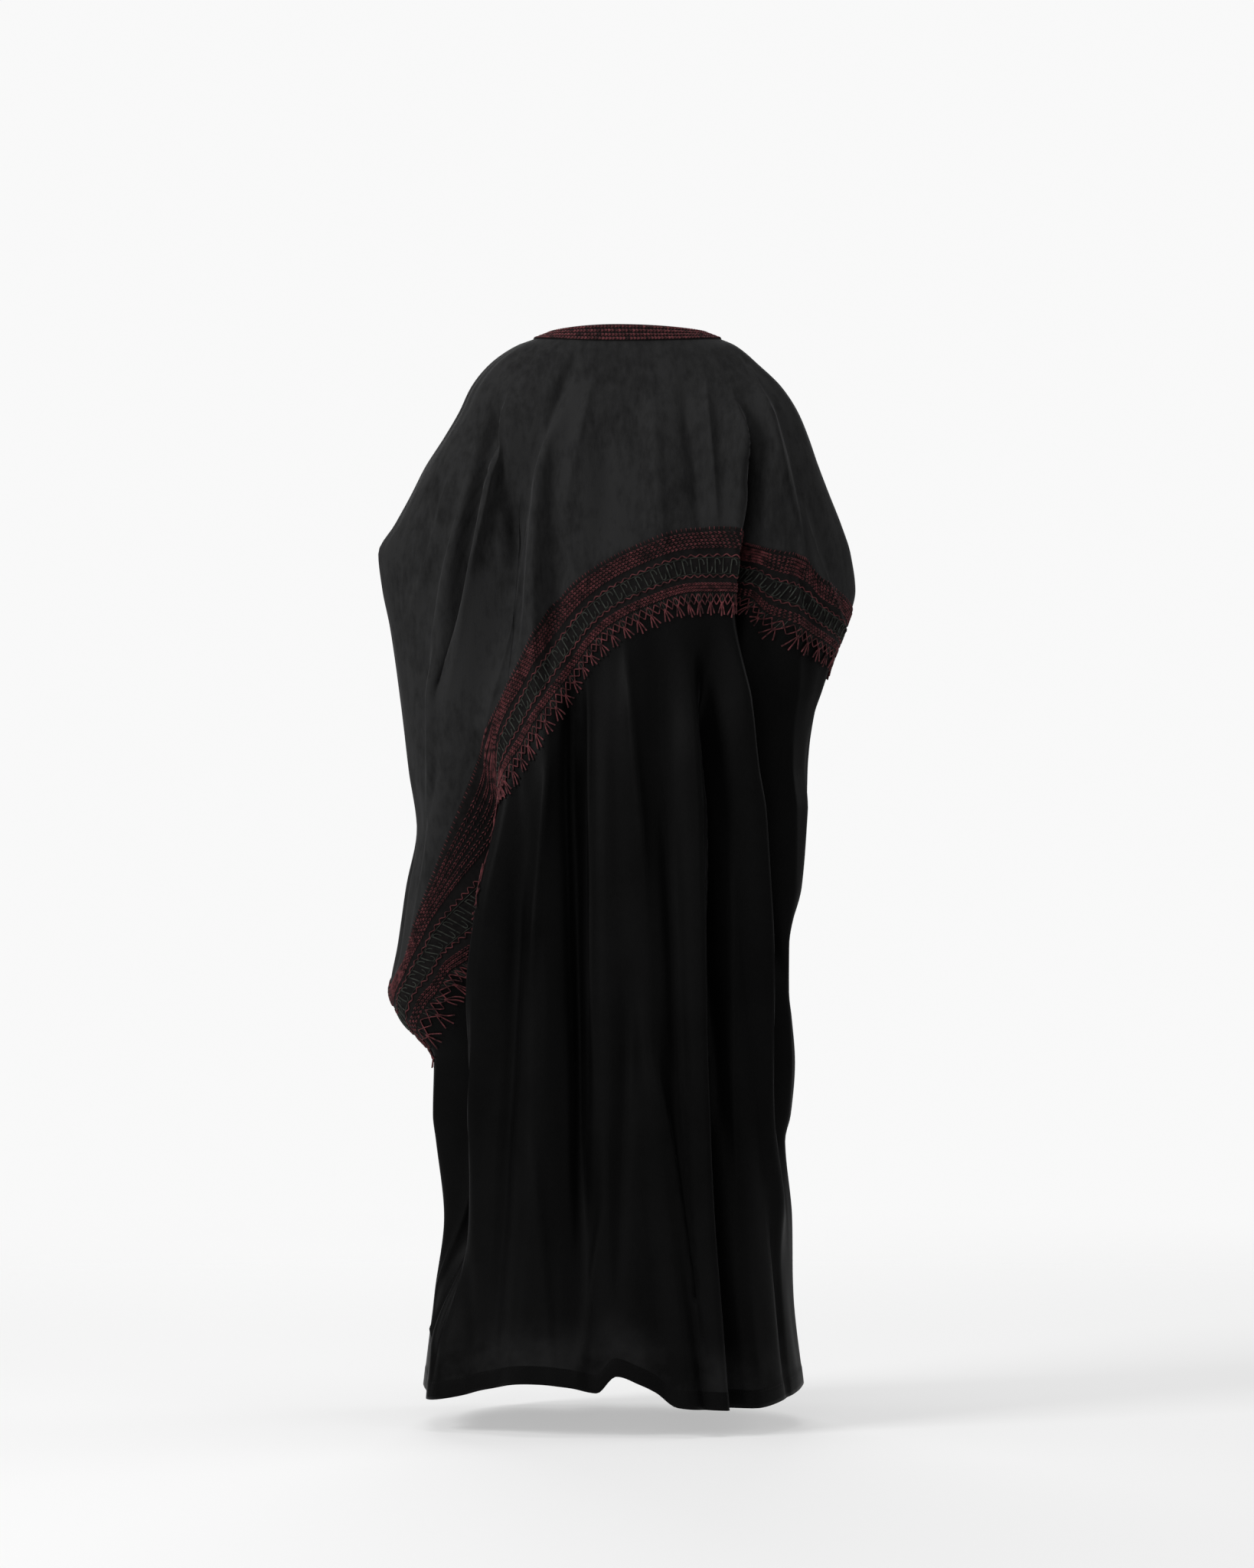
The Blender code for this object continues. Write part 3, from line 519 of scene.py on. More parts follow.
# cloth grain: mottled nap and a fine height, from object coordinates
def clothGrainGroup():
    tree = bpy.data.node_groups.new("clothGrain", "ShaderNodeTree")
    addSockets(tree, "INPUT", "Float", {"Mottle Scale": 9.0, "Mark Scale": 60.0, "Thread Scale": 900.0,
                                        "Stretch": 0.35})
    addSockets(tree, "OUTPUT", "Float", dict.fromkeys(("Mottle", "Marks", "Height")))
    ins = nodeAt(tree, "NodeGroupInput", -900, 0).outputs
    place = nodeAt(tree, "ShaderNodeTexCoord", -900, 300).outputs["Object"]
    stretch = nodeAt(tree, "ShaderNodeCombineXYZ", -700, -200, {"X": 1.0, "Y": 1.0, "Z": ins["Stretch"]})
    drawn = nodeAt(tree, "ShaderNodeVectorMath", -500, 200, {0: place, 1: stretch.outputs["Vector"]},
                   operation="MULTIPLY").outputs["Vector"]
    mottle, marks, threads = [
        nodeAt(tree, "ShaderNodeTexNoise", -250, y, {"Vector": vector, "Scale": ins[scale], "Detail": detail,
                                                     "Roughness": 0.62}).outputs["Fac"]
        for y, vector, scale, detail in ((400, place, "Mottle Scale", 5.0), (100, drawn, "Mark Scale", 3.0),
                                         (-200, drawn, "Thread Scale", 2.0))]
    height = calculated(tree, 200, -100, "MULTIPLY_ADD", marks, 0.7, threads)
    nodeAt(tree, "NodeGroupOutput", 700, 0, {"Mottle": mottle, "Marks": marks, "Height": height})
    return tree


# thread twist: slanting plies and a little wear on the raised parts
def threadGroup():
    tree = bpy.data.node_groups.new("threadTwist", "ShaderNodeTree")
    addSockets(tree, "INPUT", "Float", {"Ply Scale": 900.0, "Wear Scale": 140.0})
    addSockets(tree, "OUTPUT", "Float", dict.fromkeys(("Shade", "Height")))
    ins = nodeAt(tree, "NodeGroupInput", -700, 0).outputs
    place = nodeAt(tree, "ShaderNodeTexCoord", -700, 250).outputs["Object"]
    ply = nodeAt(tree, "ShaderNodeTexWave", -300, 200, {"Vector": place, "Scale": ins["Ply Scale"],
                                                        "Distortion": 1.5}, bands_direction="DIAGONAL")
    wear = nodeAt(tree, "ShaderNodeTexNoise", -300, -150, {"Vector": place, "Scale": ins["Wear Scale"],
                                                           "Detail": 3.0})
    nodeAt(tree, "NodeGroupOutput", 400, 0, {"Shade": wear.outputs["Fac"], "Height": ply.outputs["Fac"]})
    return tree


clothGrain = clothGrainGroup()
threadTwist = threadGroup()


def principled(name, values):
    material = bpy.data.materials.new(name)
    material.use_nodes = True
    shader = material.node_tree.nodes["Principled BSDF"]
    setInputs(material.node_tree, shader, values)
    return material, material.node_tree, shader


def rampBetween(tree, mask, look, x, y):  # a mask turned into a look's two colours
    ramp = nodeAt(tree, "ShaderNodeValToRGB", x, y, {"Fac": mask})
    for stop, place, colour in zip(ramp.color_ramp.elements, look["colourPlaces"], look["colours"]):
        stop.position = place
        stop.color = (*colour, 1)
    return ramp.outputs["Color"]


def bumped(tree, height, bump):
    return nodeAt(tree, "ShaderNodeBump", -200, -500, {**bump, "Height": height}).outputs["Normal"]


charcoalLook = {
    "colours": ((0.0080, 0.0080, 0.0081), (0.0215, 0.0215, 0.0218)),
    "colourPlaces": (0.50, 1.30),
    "finish": {"Sheen Weight": 0.12, "Sheen Roughness": 0.34, "Sheen Tint": (0.55, 0.55, 0.56, 1),
               "Specular IOR Level": 0.04},
    "grain": {"Mottle Scale": 11.0, "Mark Scale": 120.0},
    "markGain": 0.80,
    "roughness": (0.78, 0.98),
    "bump": {"Strength": 0.5, "Distance": 0.0008},
}


def charcoalMaterial():
    material, tree, shader = principled("charcoalNap", charcoalLook["finish"])
    grain = nodeAt(tree, "ShaderNodeGroup", -900, 0, charcoalLook["grain"], node_tree=clothGrain).outputs
    nap = calculated(tree, -700, 200, "MULTIPLY_ADD", grain["Marks"], charcoalLook["markGain"],
                     grain["Mottle"])
    setInputs(tree, shader, {
        "Base Color": rampBetween(tree, nap, charcoalLook, -450, 200),
        "Roughness": mapped(tree, -450, -100, grain["Mottle"], end=charcoalLook["roughness"]),
        "Normal": bumped(tree, grain["Height"], charcoalLook["bump"])})
    return material


crepeLook = {
    "colours": ((0.0012, 0.0012, 0.0012), (0.0026, 0.0026, 0.0027)),
    "colourPlaces": (0.35, 0.70),
    # painted light: the colour of light showing through the thin cloth just over the hem, in patches
    "throughLight": (0.0090, 0.0090, 0.0092),
    "throughLightPlaces": (0.42, 0.58),
    "throughLightRise": (0.075, 0.010),  # over the hem, where the painted light through the thin cloth starts and is full
    "finish": {"Sheen Weight": 0.03, "Sheen Roughness": 0.30, "Sheen Tint": (0.6, 0.6, 0.62, 1),
               "Specular IOR Level": 0.050},
    "grain": {"Mottle Scale": 5.0, "Mark Scale": 90.0, "Thread Scale": 1400.0, "Stretch": 0.2},
    "roughness": (0.36, 0.52),
    "bump": {"Strength": 0.35, "Distance": 0.0005},
    "hemDepth": 0.025,
    "stitchPitch": 0.0032,
    "stitchDrop": 0.0025,
    "stitchHalfWidth": 0.0009,
}


# black crepe: finer grain, a turned hem with its stitch line, and painted light showing through the thin
# cloth just above it
def crepeMaterial():
    material, tree, shader = principled("blackCrepe", crepeLook["finish"])
    grain = nodeAt(tree, "ShaderNodeGroup", -1100, 0, crepeLook["grain"], node_tree=clothGrain).outputs
    uv = nodeAt(tree, "ShaderNodeUVMap", -1100, -300, uv_map="cloth").outputs["UV"]
    parts = nodeAt(tree, "ShaderNodeSeparateXYZ", -900, -300, {"Vector": uv}).outputs
    hemDepth = crepeLook["hemDepth"]
    base = rampBetween(tree, grain["Mottle"], crepeLook, -700, 300)
    near = tuple(hemDepth + reach for reach in crepeLook["throughLightRise"])
    above = mapped(tree, -700, -200, parts["Y"], start=near, way="SMOOTHSTEP")
    overHem = calculated(tree, -700, -450, "GREATER_THAN", parts["Y"], hemDepth)
    patch = mapped(tree, -700, 0, grain["Mottle"], start=crepeLook["throughLightPlaces"])
    # painted light: where light shows through the thin cloth, from the hem's top upwards, in patches
    throughLight = calculated(tree, -500, -250, "MULTIPLY", above, overHem)
    throughLightMask = calculated(tree, -350, -200, "MULTIPLY", throughLight, patch)
    mix = nodeAt(tree, "ShaderNodeMix", -200, 200, {0: throughLightMask, 6: base, 7: (*crepeLook["throughLight"], 1)},
                 data_type="RGBA")
    # the stitch line: short dimples a little under the top of the hem
    turns = calculated(tree, -900, -700, "MULTIPLY", parts["X"], 2 * np.pi / crepeLook["stitchPitch"])
    wave = calculated(tree, -700, -700, "SINE", turns)
    line = calculated(tree, -500, -600, "COMPARE", parts["Y"], hemDepth - crepeLook["stitchDrop"],
                      crepeLook["stitchHalfWidth"])
    dimple = calculated(tree, -350, -650, "MULTIPLY", line, wave)
    height = calculated(tree, -300, -450, "ADD", grain["Height"], dimple)
    setInputs(tree, shader, {
        "Base Color": mix.outputs[2],
        "Roughness": mapped(tree, -450, 0, grain["Mottle"], end=crepeLook["roughness"]),
        "Normal": bumped(tree, height, crepeLook["bump"])})
    return material


threadLooks = {
    "maroonThread": {"colours": ((0.014, 0.0045, 0.005), (0.145, 0.037, 0.041)), "sheen": 0.06},
    "greyThread": {"colours": ((0.010, 0.011, 0.009), (0.046, 0.051, 0.043)), "sheen": 0.05},
    "braidGround": {"colours": ((0.0022, 0.0018, 0.0018), (0.0060, 0.0046, 0.0046)), "sheen": 0.03},
}
threadFinish = {
    "finish": {"Roughness": 0.72, "Specular IOR Level": 0.10},
    "colourPlaces": (0.34, 0.68),
    "bump": {"Strength": 0.4, "Distance": 0.0003},
}


def threadMaterial(name):
    look = {**threadFinish, **threadLooks[name]}
    material, tree, shader = principled(name, {**look["finish"], "Sheen Weight": look["sheen"]})
    twist = nodeAt(tree, "ShaderNodeGroup", -700, 0, node_tree=threadTwist).outputs
    setInputs(tree, shader, {
        "Base Color": rampBetween(tree, twist["Shade"], look, -450, 200),
        "Normal": bumped(tree, twist["Height"], look["bump"])})
    return material


charcoal = charcoalMaterial()
crepe = crepeMaterial()
maroonThread, greyThread, braidGround = [threadMaterial(name) for name in threadLooks]
print("materials made")

# the cloths
clothMake = {
    "thickness": 0.0010,
    "halfGap": 0.0004,  # under the braid, where the upper and the lower cloth meet
    "hemDepth": 0.025,
    "hemLift": 0.0006,
    "hemEase": 0.0015,
    "columns": {"front_left": 110, "back": 300, "front_right": 110},
    "upperRows": 110,
    "upperCrowding": 1.15,  # closer rows by the neck
    "lowerRows": 140,
    "lowerCrowding": 0.10,  # closer rows by the hem
}


def makeCloth(panel, part):
    fractions = np.linspace(0, 1, clothMake["columns"][panel])
    middle = (crossing(panel, fractions, topLine) + crossing(panel, fractions, bottomLine)) / 2
    hem = crossing(panel, fractions, (hemLine["angle"], hemLine["drop"]))
    if part == "upper":
        share = np.linspace(0, 1, clothMake["upperRows"])[:, None] ** clothMake["upperCrowding"]
        drops = (middle - clothMake["halfGap"])[None, :] * share
    else:
        share = np.linspace(0, 1, clothMake["lowerRows"])[:, None]
        share = share + clothMake["lowerCrowding"] * np.sin(np.pi * share) * share
        top = middle + clothMake["halfGap"]
        drops = top[None, :] + (hem - top)[None, :] * share
    angles = columnAngle(panel, fractions[None, :], drops)
    fromHem = hem[None, :] - drops
    hemDepth, ease = clothMake["hemDepth"], clothMake["hemEase"]
    lift = clothMake["hemLift"] * (1 - rise(hemDepth - ease, hemDepth + ease, fromHem))
    outer, normal = clothPoint(angles, drops, lift if part == "lower" else 0.0)
    inner = outer - normal * clothMake["thickness"]
    uv = np.stack((lengthAlong(outer), fromHem if part == "lower" else drops), axis=-1)
    made = makeShell(f"{panel}_{part}_cloth", outer, inner, uv, charcoal if part == "upper" else crepe)
    return dress(made, f"{panel}_{part}")


cloths = {(panel, part): makeCloth(panel, part) for panel in panelGuides for part in ("upper", "lower")}
print("cloths made")

# the braid: every place on it is a length along and a share across, 0 at the top edge, 1 at the lower
braidMake = {
    "groundLift": 0.0004,
    "groundThickness": 0.0008,
    "cellLength": 0.0030,
    "rowsAcross": 30,
    "usualWidth": 0.105,
    "bands": ((0.03, 0.07, 0.27, 0.30), (0.69, 0.72, 0.81, 0.84)),  # raised: starts, full, fades, ends
    "bandHeight": 0.0006,
    "toothPitch": 0.0210,
    "toothTop": 0.84,
    "toothTip": 0.99,
    "uvWidth": 0.11,
    "stationStep": 0.002,
    "metresPerDegree": 0.0044,
    "mostLean": 9,
    "leanGain": 1.2,
    "endEase": 0.07,
    "smoothing": 30,
}
groundFace = braidMake["groundLift"] + braidMake["groundThickness"]


# the stations along one panel's braid: length, angle, and how many degrees a cross line leans
def braidStations(panel):
    angles = np.linspace(0.02, 359.98, 2880)
    top = smoothCurve(*topLine, angles)
    bottom = smoothCurve(*bottomLine, angles)
    middle = (top + bottom) / 2
    start, end = panelEdges(panel, middle)
    keep = (angles >= start) & (angles <= end)
    angles, top, bottom, middle = angles[keep], top[keep], bottom[keep], middle[keep]
    length = lengthAlong(clothPoint(angles, middle)[0])
    slope = np.gradient(middle, angles)
    shift = -slope * (bottom - top) / (slope ** 2 + braidMake["metresPerDegree"] ** 2)
    even = np.linspace(0, length[-1], int(length[-1] / braidMake["stationStep"]))
    shift = np.interp(even, length, np.clip(shift, -braidMake["mostLean"], braidMake["mostLean"]))
    window = np.hanning(2 * braidMake["smoothing"] + 1)
    padded = np.pad(shift, braidMake["smoothing"], mode="edge")
    shift = np.convolve(padded, window / window.sum(), mode="valid")
    shift = shift * rise(0, braidMake["endEase"], even) * rise(0, braidMake["endEase"], even[-1] - even)
    turned = np.interp(even, length, angles)
    for order in (range(1, len(even)), range(len(even) - 2, -1, -1)):  # no cross line overtakes the next
        for k in order:
            near = k - 1 if order.step > 0 else k + 1
            most = braidMake["leanGain"] * abs(turned[k] - turned[near])
            shift[k] = np.clip(shift[k], shift[near] - most, shift[near] + most)
    return {"length": even, "angle": turned, "shift": shift}


stations = {panel: braidStations(panel) for panel in panelGuides}


def braidPoint(panel, length, share, lift):
    length, share = np.broadcast_arrays(np.asarray(length, float), np.asarray(share, float))
    table = stations[panel]
    angle = np.interp(length, table["length"], table["angle"])
    angle = angle + np.interp(length, table["length"], table["shift"]) * (share - 0.5)
    angle = np.clip(angle, 0.0, 360.0)
    top = smoothCurve(*topLine, angle)
    return clothPoint(angle, top + share * (smoothCurve(*bottomLine, angle) - top), lift)


for panel, table in stations.items():
    crossLines = braidPoint(panel, table["length"][:, None], np.linspace(0, 1, 9)[None, :], 0.0)[0]
    table["width"] = lengthAlong(crossLines)[:, -1]
    table["end"] = table["length"][-1]


def shareOf(panel, length, distance):  # a distance across the braid, as a share of its width there
    return distance / np.interp(length, stations[panel]["length"], stations[panel]["width"])


# heights of the woven ground across the braid
def groundHeight(share):
    raised = [rise(starts, full, share) * (1 - rise(fades, ends, share))
              for starts, full, fades, ends in braidMake["bands"]]
    return braidMake["bandHeight"] * (raised[0] + raised[1])


# triangle wave, 0 to 1
def tooth(length, pitch):
    return 1 - np.abs((length / pitch) % 1 * 2 - 1)


def toothShare(tip, wave):  # the share across at the net's edge
    return braidMake["toothTop"] + (tip - braidMake["toothTop"]) * wave


def makeGround(panel):
    end = stations[panel]["end"]
    length = np.linspace(0, end, int(end / braidMake["cellLength"]))[None, :]
    share = np.linspace(0, 1, braidMake["rowsAcross"])[:, None]
    share = share * toothShare(braidMake["toothTip"], tooth(length, braidMake["toothPitch"]))
    lift = groundFace + groundHeight(share)
    outer, normal = braidPoint(panel, length, share, lift)
    inner = outer - normal * (lift - braidMake["groundLift"])[..., None]
    uv = np.stack(np.broadcast_arrays(length, share * braidMake["uvWidth"]), axis=-1)
    made = makeShell(f"braid_{panel}_ground", outer, inner, uv, braidGround)
    return dress(made, f"braid_{panel}")


# what both trees share: geometry and its thread in, plain painted geometry out
def geometryTree(name, kind, values):
    tree = bpy.data.node_groups.new(name, "GeometryNodeTree")
    addSockets(tree, "INPUT", "Geometry", {"Geometry": None})
    addSockets(tree, "INPUT", kind, values)
    addSockets(tree, "INPUT", "Material", {"Thread": None})
    addSockets(tree, "OUTPUT", "Geometry", {"Geometry": None})
    return tree, nodeAt(tree, "NodeGroupInput", -900, 0).outputs


def endTree(tree, geometry, thread):
    real = nodeAt(tree, "GeometryNodeRealizeInstances", 350, 100, {"Geometry": geometry})
    paint = nodeAt(tree, "GeometryNodeSetMaterial", 600, 100, {"Geometry": real.outputs["Geometry"],
                                                               "Material": thread})
    nodeAt(tree, "NodeGroupOutput", 900, 0, {"Geometry": paint.outputs["Geometry"]})
    return tree


# a tree that sets a small strand of thread on every point, along its direction
def strandTree():
    tree, ins = geometryTree("setStrands", "Float", {"Strand Length": 0.0058, "Strand Width": 0.0021,
                                                     "Strand Height": 0.0017})
    ball = nodeAt(tree, "GeometryNodeMeshUVSphere", -700, 300, {"Segments": 6, "Rings": 3, "Radius": 0.5})
    size = nodeAt(tree, "ShaderNodeCombineXYZ", -700, 100, {
        "X": ins["Strand Length"], "Y": ins["Strand Width"], "Z": ins["Strand Height"]})
    shape = nodeAt(tree, "GeometryNodeTransform", -450, 250, {"Geometry": ball.outputs["Mesh"],
                                                              "Scale": size.outputs["Vector"]})
    turn = {}
    for x, name, axis, pivot in ((-450, "out", "Z", "AUTO"), (-200, "along", "X", "Z")):
        way = nodeAt(tree, "GeometryNodeInputNamedAttribute", x, -300, {"Name": name},
                     data_type="FLOAT_VECTOR")
        made = nodeAt(tree, "FunctionNodeAlignRotationToVector", x, -100, {
            **turn, "Vector": way.outputs["Attribute"]}, axis=axis, pivot_axis=pivot)
        turn = {"Rotation": made.outputs["Rotation"]}
    spread = nodeAt(tree, "GeometryNodeInstanceOnPoints", 100, 100, {
        "Points": ins["Geometry"], "Instance": shape.outputs["Geometry"], **turn})
    return endTree(tree, spread.outputs["Instances"], ins["Thread"])


# a tree that makes a round cord along every line, as thick as its points' own girth
def cordTree():
    tree, ins = geometryTree("roundCords", "Int", {"Sides": 5})
    lines = nodeAt(tree, "GeometryNodeMeshToCurve", -650, 100, {"Mesh": ins["Geometry"]})
    girth = nodeAt(tree, "GeometryNodeInputNamedAttribute", -650, -150, {"Name": "girth"}, data_type="FLOAT")
    ring = nodeAt(tree, "GeometryNodeCurvePrimitiveCircle", -400, -200, {"Radius": 1.0,
                                                                         "Resolution": ins["Sides"]})
    tube = nodeAt(tree, "GeometryNodeCurveToMesh", -100, 100, {
        "Curve": lines.outputs["Curve"], "Scale": girth.outputs["Attribute"],
        "Profile Curve": ring.outputs["Curve"], "Fill Caps": True})
    return endTree(tree, tube.outputs["Mesh"], ins["Thread"])


setStrands = strandTree()
roundCords = cordTree()


# runs a tree on a helper mesh and keeps the plain result
def grown(name, mesh, tree, values):
    helper = addObject(name + "_helper", mesh)
    modifier = helper.modifiers.new("grow", "NODES")
    modifier.node_group = tree
    for item in tree.interface.items_tree:
        if item.in_out == "INPUT" and item.name in values:
            modifier[item.identifier] = values[item.name]
    mesh = bpy.data.meshes.new_from_object(helper.evaluated_get(bpy.context.evaluated_depsgraph_get()))
    mesh.name = name
    helper.modifiers.remove(modifier)
    bpy.data.objects.remove(helper, do_unlink=True)
    mesh.shade_smooth()
    print("grown", name, sum(len(face.vertices) - 2 for face in mesh.polygons), "triangles")
    return addObject(name, mesh)


# strands: rows of points with the direction of the thread and the way out of the cloth
def makeStrands(name, gathered, sizes, material):
    points, alongs, outs = (np.concatenate([row[k] for row in gathered]) for k in range(3))
    mesh = bpy.data.meshes.new(name + "_points")
    mesh.from_pydata(points.tolist(), [], [])
    for label, vectors in (("along", alongs), ("out", outs)):
        mesh.attributes.new(label, "FLOAT_VECTOR", "POINT").data.foreach_set("vector", vectors.ravel())
    values = dict(zip(("Strand Length", "Strand Width", "Strand Height"), sizes))
    return dress(grown(name, mesh, setStrands, {**values, "Thread": material}))


# cords: lines of length along the braid, share across it, lift off the cloth and girth
def makeCords(name, panel, lines, material, node=None, sides=5):
    rows = [np.stack(np.broadcast_arrays(*[np.asarray(value, float) for value in line])) for line in lines]
    length, share, lift, girth = np.concatenate(rows, axis=1)
    points = braidPoint(panel, length, share, lift)[0]
    ends = set(np.cumsum([row.shape[1] for row in rows]))
    edges = [(k - 1, k) for k in range(1, len(length)) if k not in ends]
    mesh = bpy.data.meshes.new(name + "_lines")
    mesh.from_pydata(points.tolist(), edges, [])
    mesh.attributes.new("girth", "FLOAT", "POINT").data.foreach_set("value", girth)
    return dress(grown(name, mesh, roundCords, {"Sides": sides, "Thread": material}), node)


chainMake = {
    "shares": (0.075, 0.120, 0.165, 0.210, 0.255, 0.720, 0.760, 0.800),
    "pitch": 0.0050,
    "lift": 0.0010,
    "strand": (0.0058, 0.0014, 0.0019),  # length, width and height
    "lean": 17.0,
    "offset": 0.0008,
    "picotPitch": 0.0052,  # the serrated upper edge
    "picotShares": (0.012, -0.05),
}


# the two leaning strands of each chain stitch, given places along a line
def chainStrands(at):
    sides = []
    for side in (-1, 1):
        place, normal = at(side * chainMake["offset"])
        ahead = unit(np.gradient(place, axis=0))
        beside = unit(np.cross(normal, ahead))
        turn = np.radians(chainMake["lean"]) * side
        sides.append((place, ahead * np.cos(turn) + beside * np.sin(turn), normal))
    return sides


def makeChain(panel):
    end = stations[panel]["end"]
    gathered = []
    for k, share in enumerate(chainMake["shares"]):
        start = (0.3 + 0.37 * k) % 1 * chainMake["pitch"]
        length = np.arange(start, end, chainMake["pitch"])
        gathered += chainStrands(lambda off: braidPoint(
            panel, length, share + off / braidMake["usualWidth"], groundFace + chainMake["lift"]))
    length = np.arange(0.002, end, chainMake["picotPitch"])
    place, normal = braidPoint(panel, length, chainMake["picotShares"][0], groundFace)
    above = braidPoint(panel, length, chainMake["picotShares"][1], braidMake["groundLift"])[0]
    gathered.append((place, unit(above - place), normal))
    return makeStrands(f"braid_{panel}_chain", gathered, chainMake["strand"], maroonThread)


cordMake = {
    "lift": 0.0007,
    "endGap": 0.001,
    "waveShares": (0.365, 0.625),
    "waveLength": 0.0115,
    "waveReach": 0.016,
    "waveGirth": 0.00078,
    "netTip": 0.985,
    "netOver": 0.0003,
    "netGirth": 0.00080,
}


def makeMaroonCords(panel):
    lift = groundFace + cordMake["lift"]
    gap = cordMake["endGap"]
    fine = np.arange(gap, stations[panel]["end"] - gap, cordMake["waveLength"] / 8)
    lines = []
    for share in cordMake["waveShares"]:
        wave = cordMake["waveReach"] * np.sin(2 * np.pi * fine / cordMake["waveLength"])
        lines.append((fine, share + wave, lift, cordMake["waveGirth"]))
    for turn in (0, 0.5):  # two crossing cords outline the net's teeth
        wave = tooth(fine + turn * braidMake["toothPitch"], braidMake["toothPitch"])
        lines.append((fine, toothShare(cordMake["netTip"], wave), lift + cordMake["netOver"] * (wave - 0.5),
                      cordMake["netGirth"]))
    return makeCords(f"braid_{panel}_cords", panel, lines, maroonThread)


ladderMake = {
    "lift": 0.0006,
    "top": 0.405,
    "bottom": 0.585,
    "edge": 0.012,  # the two long lines run this share outside the bars, the hooks start as far inside
    "lineStep": 0.004,
    "lineGirths": (0.00055, 0.00045),
    "barPitch": 0.0110,
    "barOver": 0.0003,
    "barGirth": 0.00085,
    "hookReach": 0.58,
    "hookAlong": (0.0, 0.35, 0.75, 1.0, 1.0),
    "hookAcross": (0.00, -0.010, 0.000, 0.035, 0.065),
    "hookOver": 0.0002,
    "hookGirth": 0.00070,
    "netOffsets": (-0.0035, 0.0, 0.0035),
    "netGirth": 0.00040,
}


# grey-green line, bars and their hooks
def makeLadder(panel):
    end = stations[panel]["end"]
    lift = groundFace + ladderMake["lift"]
    top, bottom, edge = ladderMake["top"], ladderMake["bottom"], ladderMake["edge"]
    fine = np.arange(cordMake["endGap"], end - cordMake["endGap"], ladderMake["lineStep"])
    lines = [(fine, top - edge, lift, ladderMake["lineGirths"][0]),
             (fine, bottom + edge, lift, ladderMake["lineGirths"][1])]
    across = np.array(ladderMake["hookAcross"])
    reach = np.array(ladderMake["hookAlong"]) * (ladderMake["barPitch"] * ladderMake["hookReach"])
    bar = np.linspace(top, bottom, 5)
    for k, middle in enumerate(np.arange(0.005, end - 0.005, ladderMake["barPitch"])):
        lines.append((middle, bar, lift + ladderMake["barOver"], ladderMake["barGirth"]))
        path = top + edge + across if k % 2 else bottom - edge - across
        lines.append((np.clip(middle + reach, 0, end), path, lift + ladderMake["hookOver"],
                      ladderMake["hookGirth"]))
    for middle in np.arange(braidMake["toothPitch"] / 2, end - 0.010, braidMake["toothPitch"]):
        for off in ladderMake["netOffsets"]:  # the net inside each tooth
            path = np.linspace(braidMake["toothTop"] - 0.01, 0.975 - abs(off) * 9, 4)
            lines.append((middle + off, path, lift, ladderMake["netGirth"]))
    return makeCords(f"braid_{panel}_ladder", panel, lines, greyThread, sides=4)


tasselMake = {
    "lift": 0.0014,
    "length": 0.0185,
    "spread": 0.0066,
    "start": 0.955,
    "sway": 0.0012,
    "sideShorter": 0.16,
    "uneven": 0.07,
    "endLift": 0.0008,
    "knotShares": (0.945, 0.97, 0.995),
    "knotGirths": (0.0010, 0.0018, 0.0012),
}


# three-pronged tassels hanging from the lower edge
def makeTassels(panel):
    end = stations[panel]["end"]
    lift = braidMake["groundLift"] + tasselMake["lift"]
    grow = np.linspace(0, 1, 6)
    girth = 0.00075 + 0.00040 * grow * (1.15 - 0.35 * grow)
    lines = []
    for k, middle in enumerate(np.arange(braidMake["toothPitch"] / 2, end - 0.006, braidMake["toothPitch"])):
        reach = shareOf(panel, middle, tasselMake["length"])
        sway = tasselMake["sway"] * np.sin(2.4 * k + 0.6)
        for prong in (-1, 0, 1):
            uneven = tasselMake["uneven"] * np.sin(1.7 * k + prong)
            long = 1.0 - tasselMake["sideShorter"] * abs(prong) + uneven
            share = tasselMake["start"] + reach * long * grow
            out = middle + prong * tasselMake["spread"] * grow ** 0.8 + sway * grow ** 2
            lines.append((np.clip(out, 0, end), share, lift + tasselMake["endLift"] * grow, girth))
        lines.append((middle, tasselMake["knotShares"], lift + 0.0004, tasselMake["knotGirths"]))
    return makeCords(f"tassels_{panel}_threads", panel, lines, maroonThread,
                     f"tassels_{panel}")


for panel in panelGuides:
    makeGround(panel)
    [make(panel) for make in (makeChain, makeMaroonCords, makeLadder, makeTassels)]
print("braids and tassels made")

# the narrow braid round the neck
neckMake = {
    "lift": 0.0004,
    "thickness": 0.0010,
    "ends": (1.3, 358.7),
    "chainEnds": (1.5, 358.5),
    "chainShares": (0.14, 0.38, 0.62, 0.86),
    "chainLift": 0.0005,
    "offsetGain": 0.5,
    "pitch": 0.0048,
    "strand": (0.0056, 0.0024, 0.0018),
    "uvWidth": 0.02,
}


def makeNeckTrim():
    angles, share = np.meshgrid(np.linspace(*neckMake["ends"], 260), np.linspace(0, 1, 10))
    outer, normal = clothPoint(angles, share * cut["neckTrimDrop"], neckMake["lift"] + neckMake["thickness"])
    inner = outer - normal * neckMake["thickness"]
    uv = np.stack((lengthAlong(outer), share * neckMake["uvWidth"]), axis=-1)
    ground = dress(makeShell("neck_trim_ground", outer, inner, uv, braidGround), "neck_trim")
    gathered = []
    lift = neckMake["lift"] + neckMake["thickness"] + neckMake["chainLift"]
    sweep = np.linspace(*neckMake["chainEnds"], 2000)
    for share in neckMake["chainShares"]:
        drop = share * cut["neckTrimDrop"]
        length = lengthAlong(clothPoint(sweep, drop)[0])
        places = np.interp(np.arange(0.001, length[-1], neckMake["pitch"]), length, sweep)
        gathered += chainStrands(lambda off: clothPoint(places, drop + off * neckMake["offsetGain"], lift))
    return ground, makeStrands("neck_trim_chain", gathered, neckMake["strand"], maroonThread)


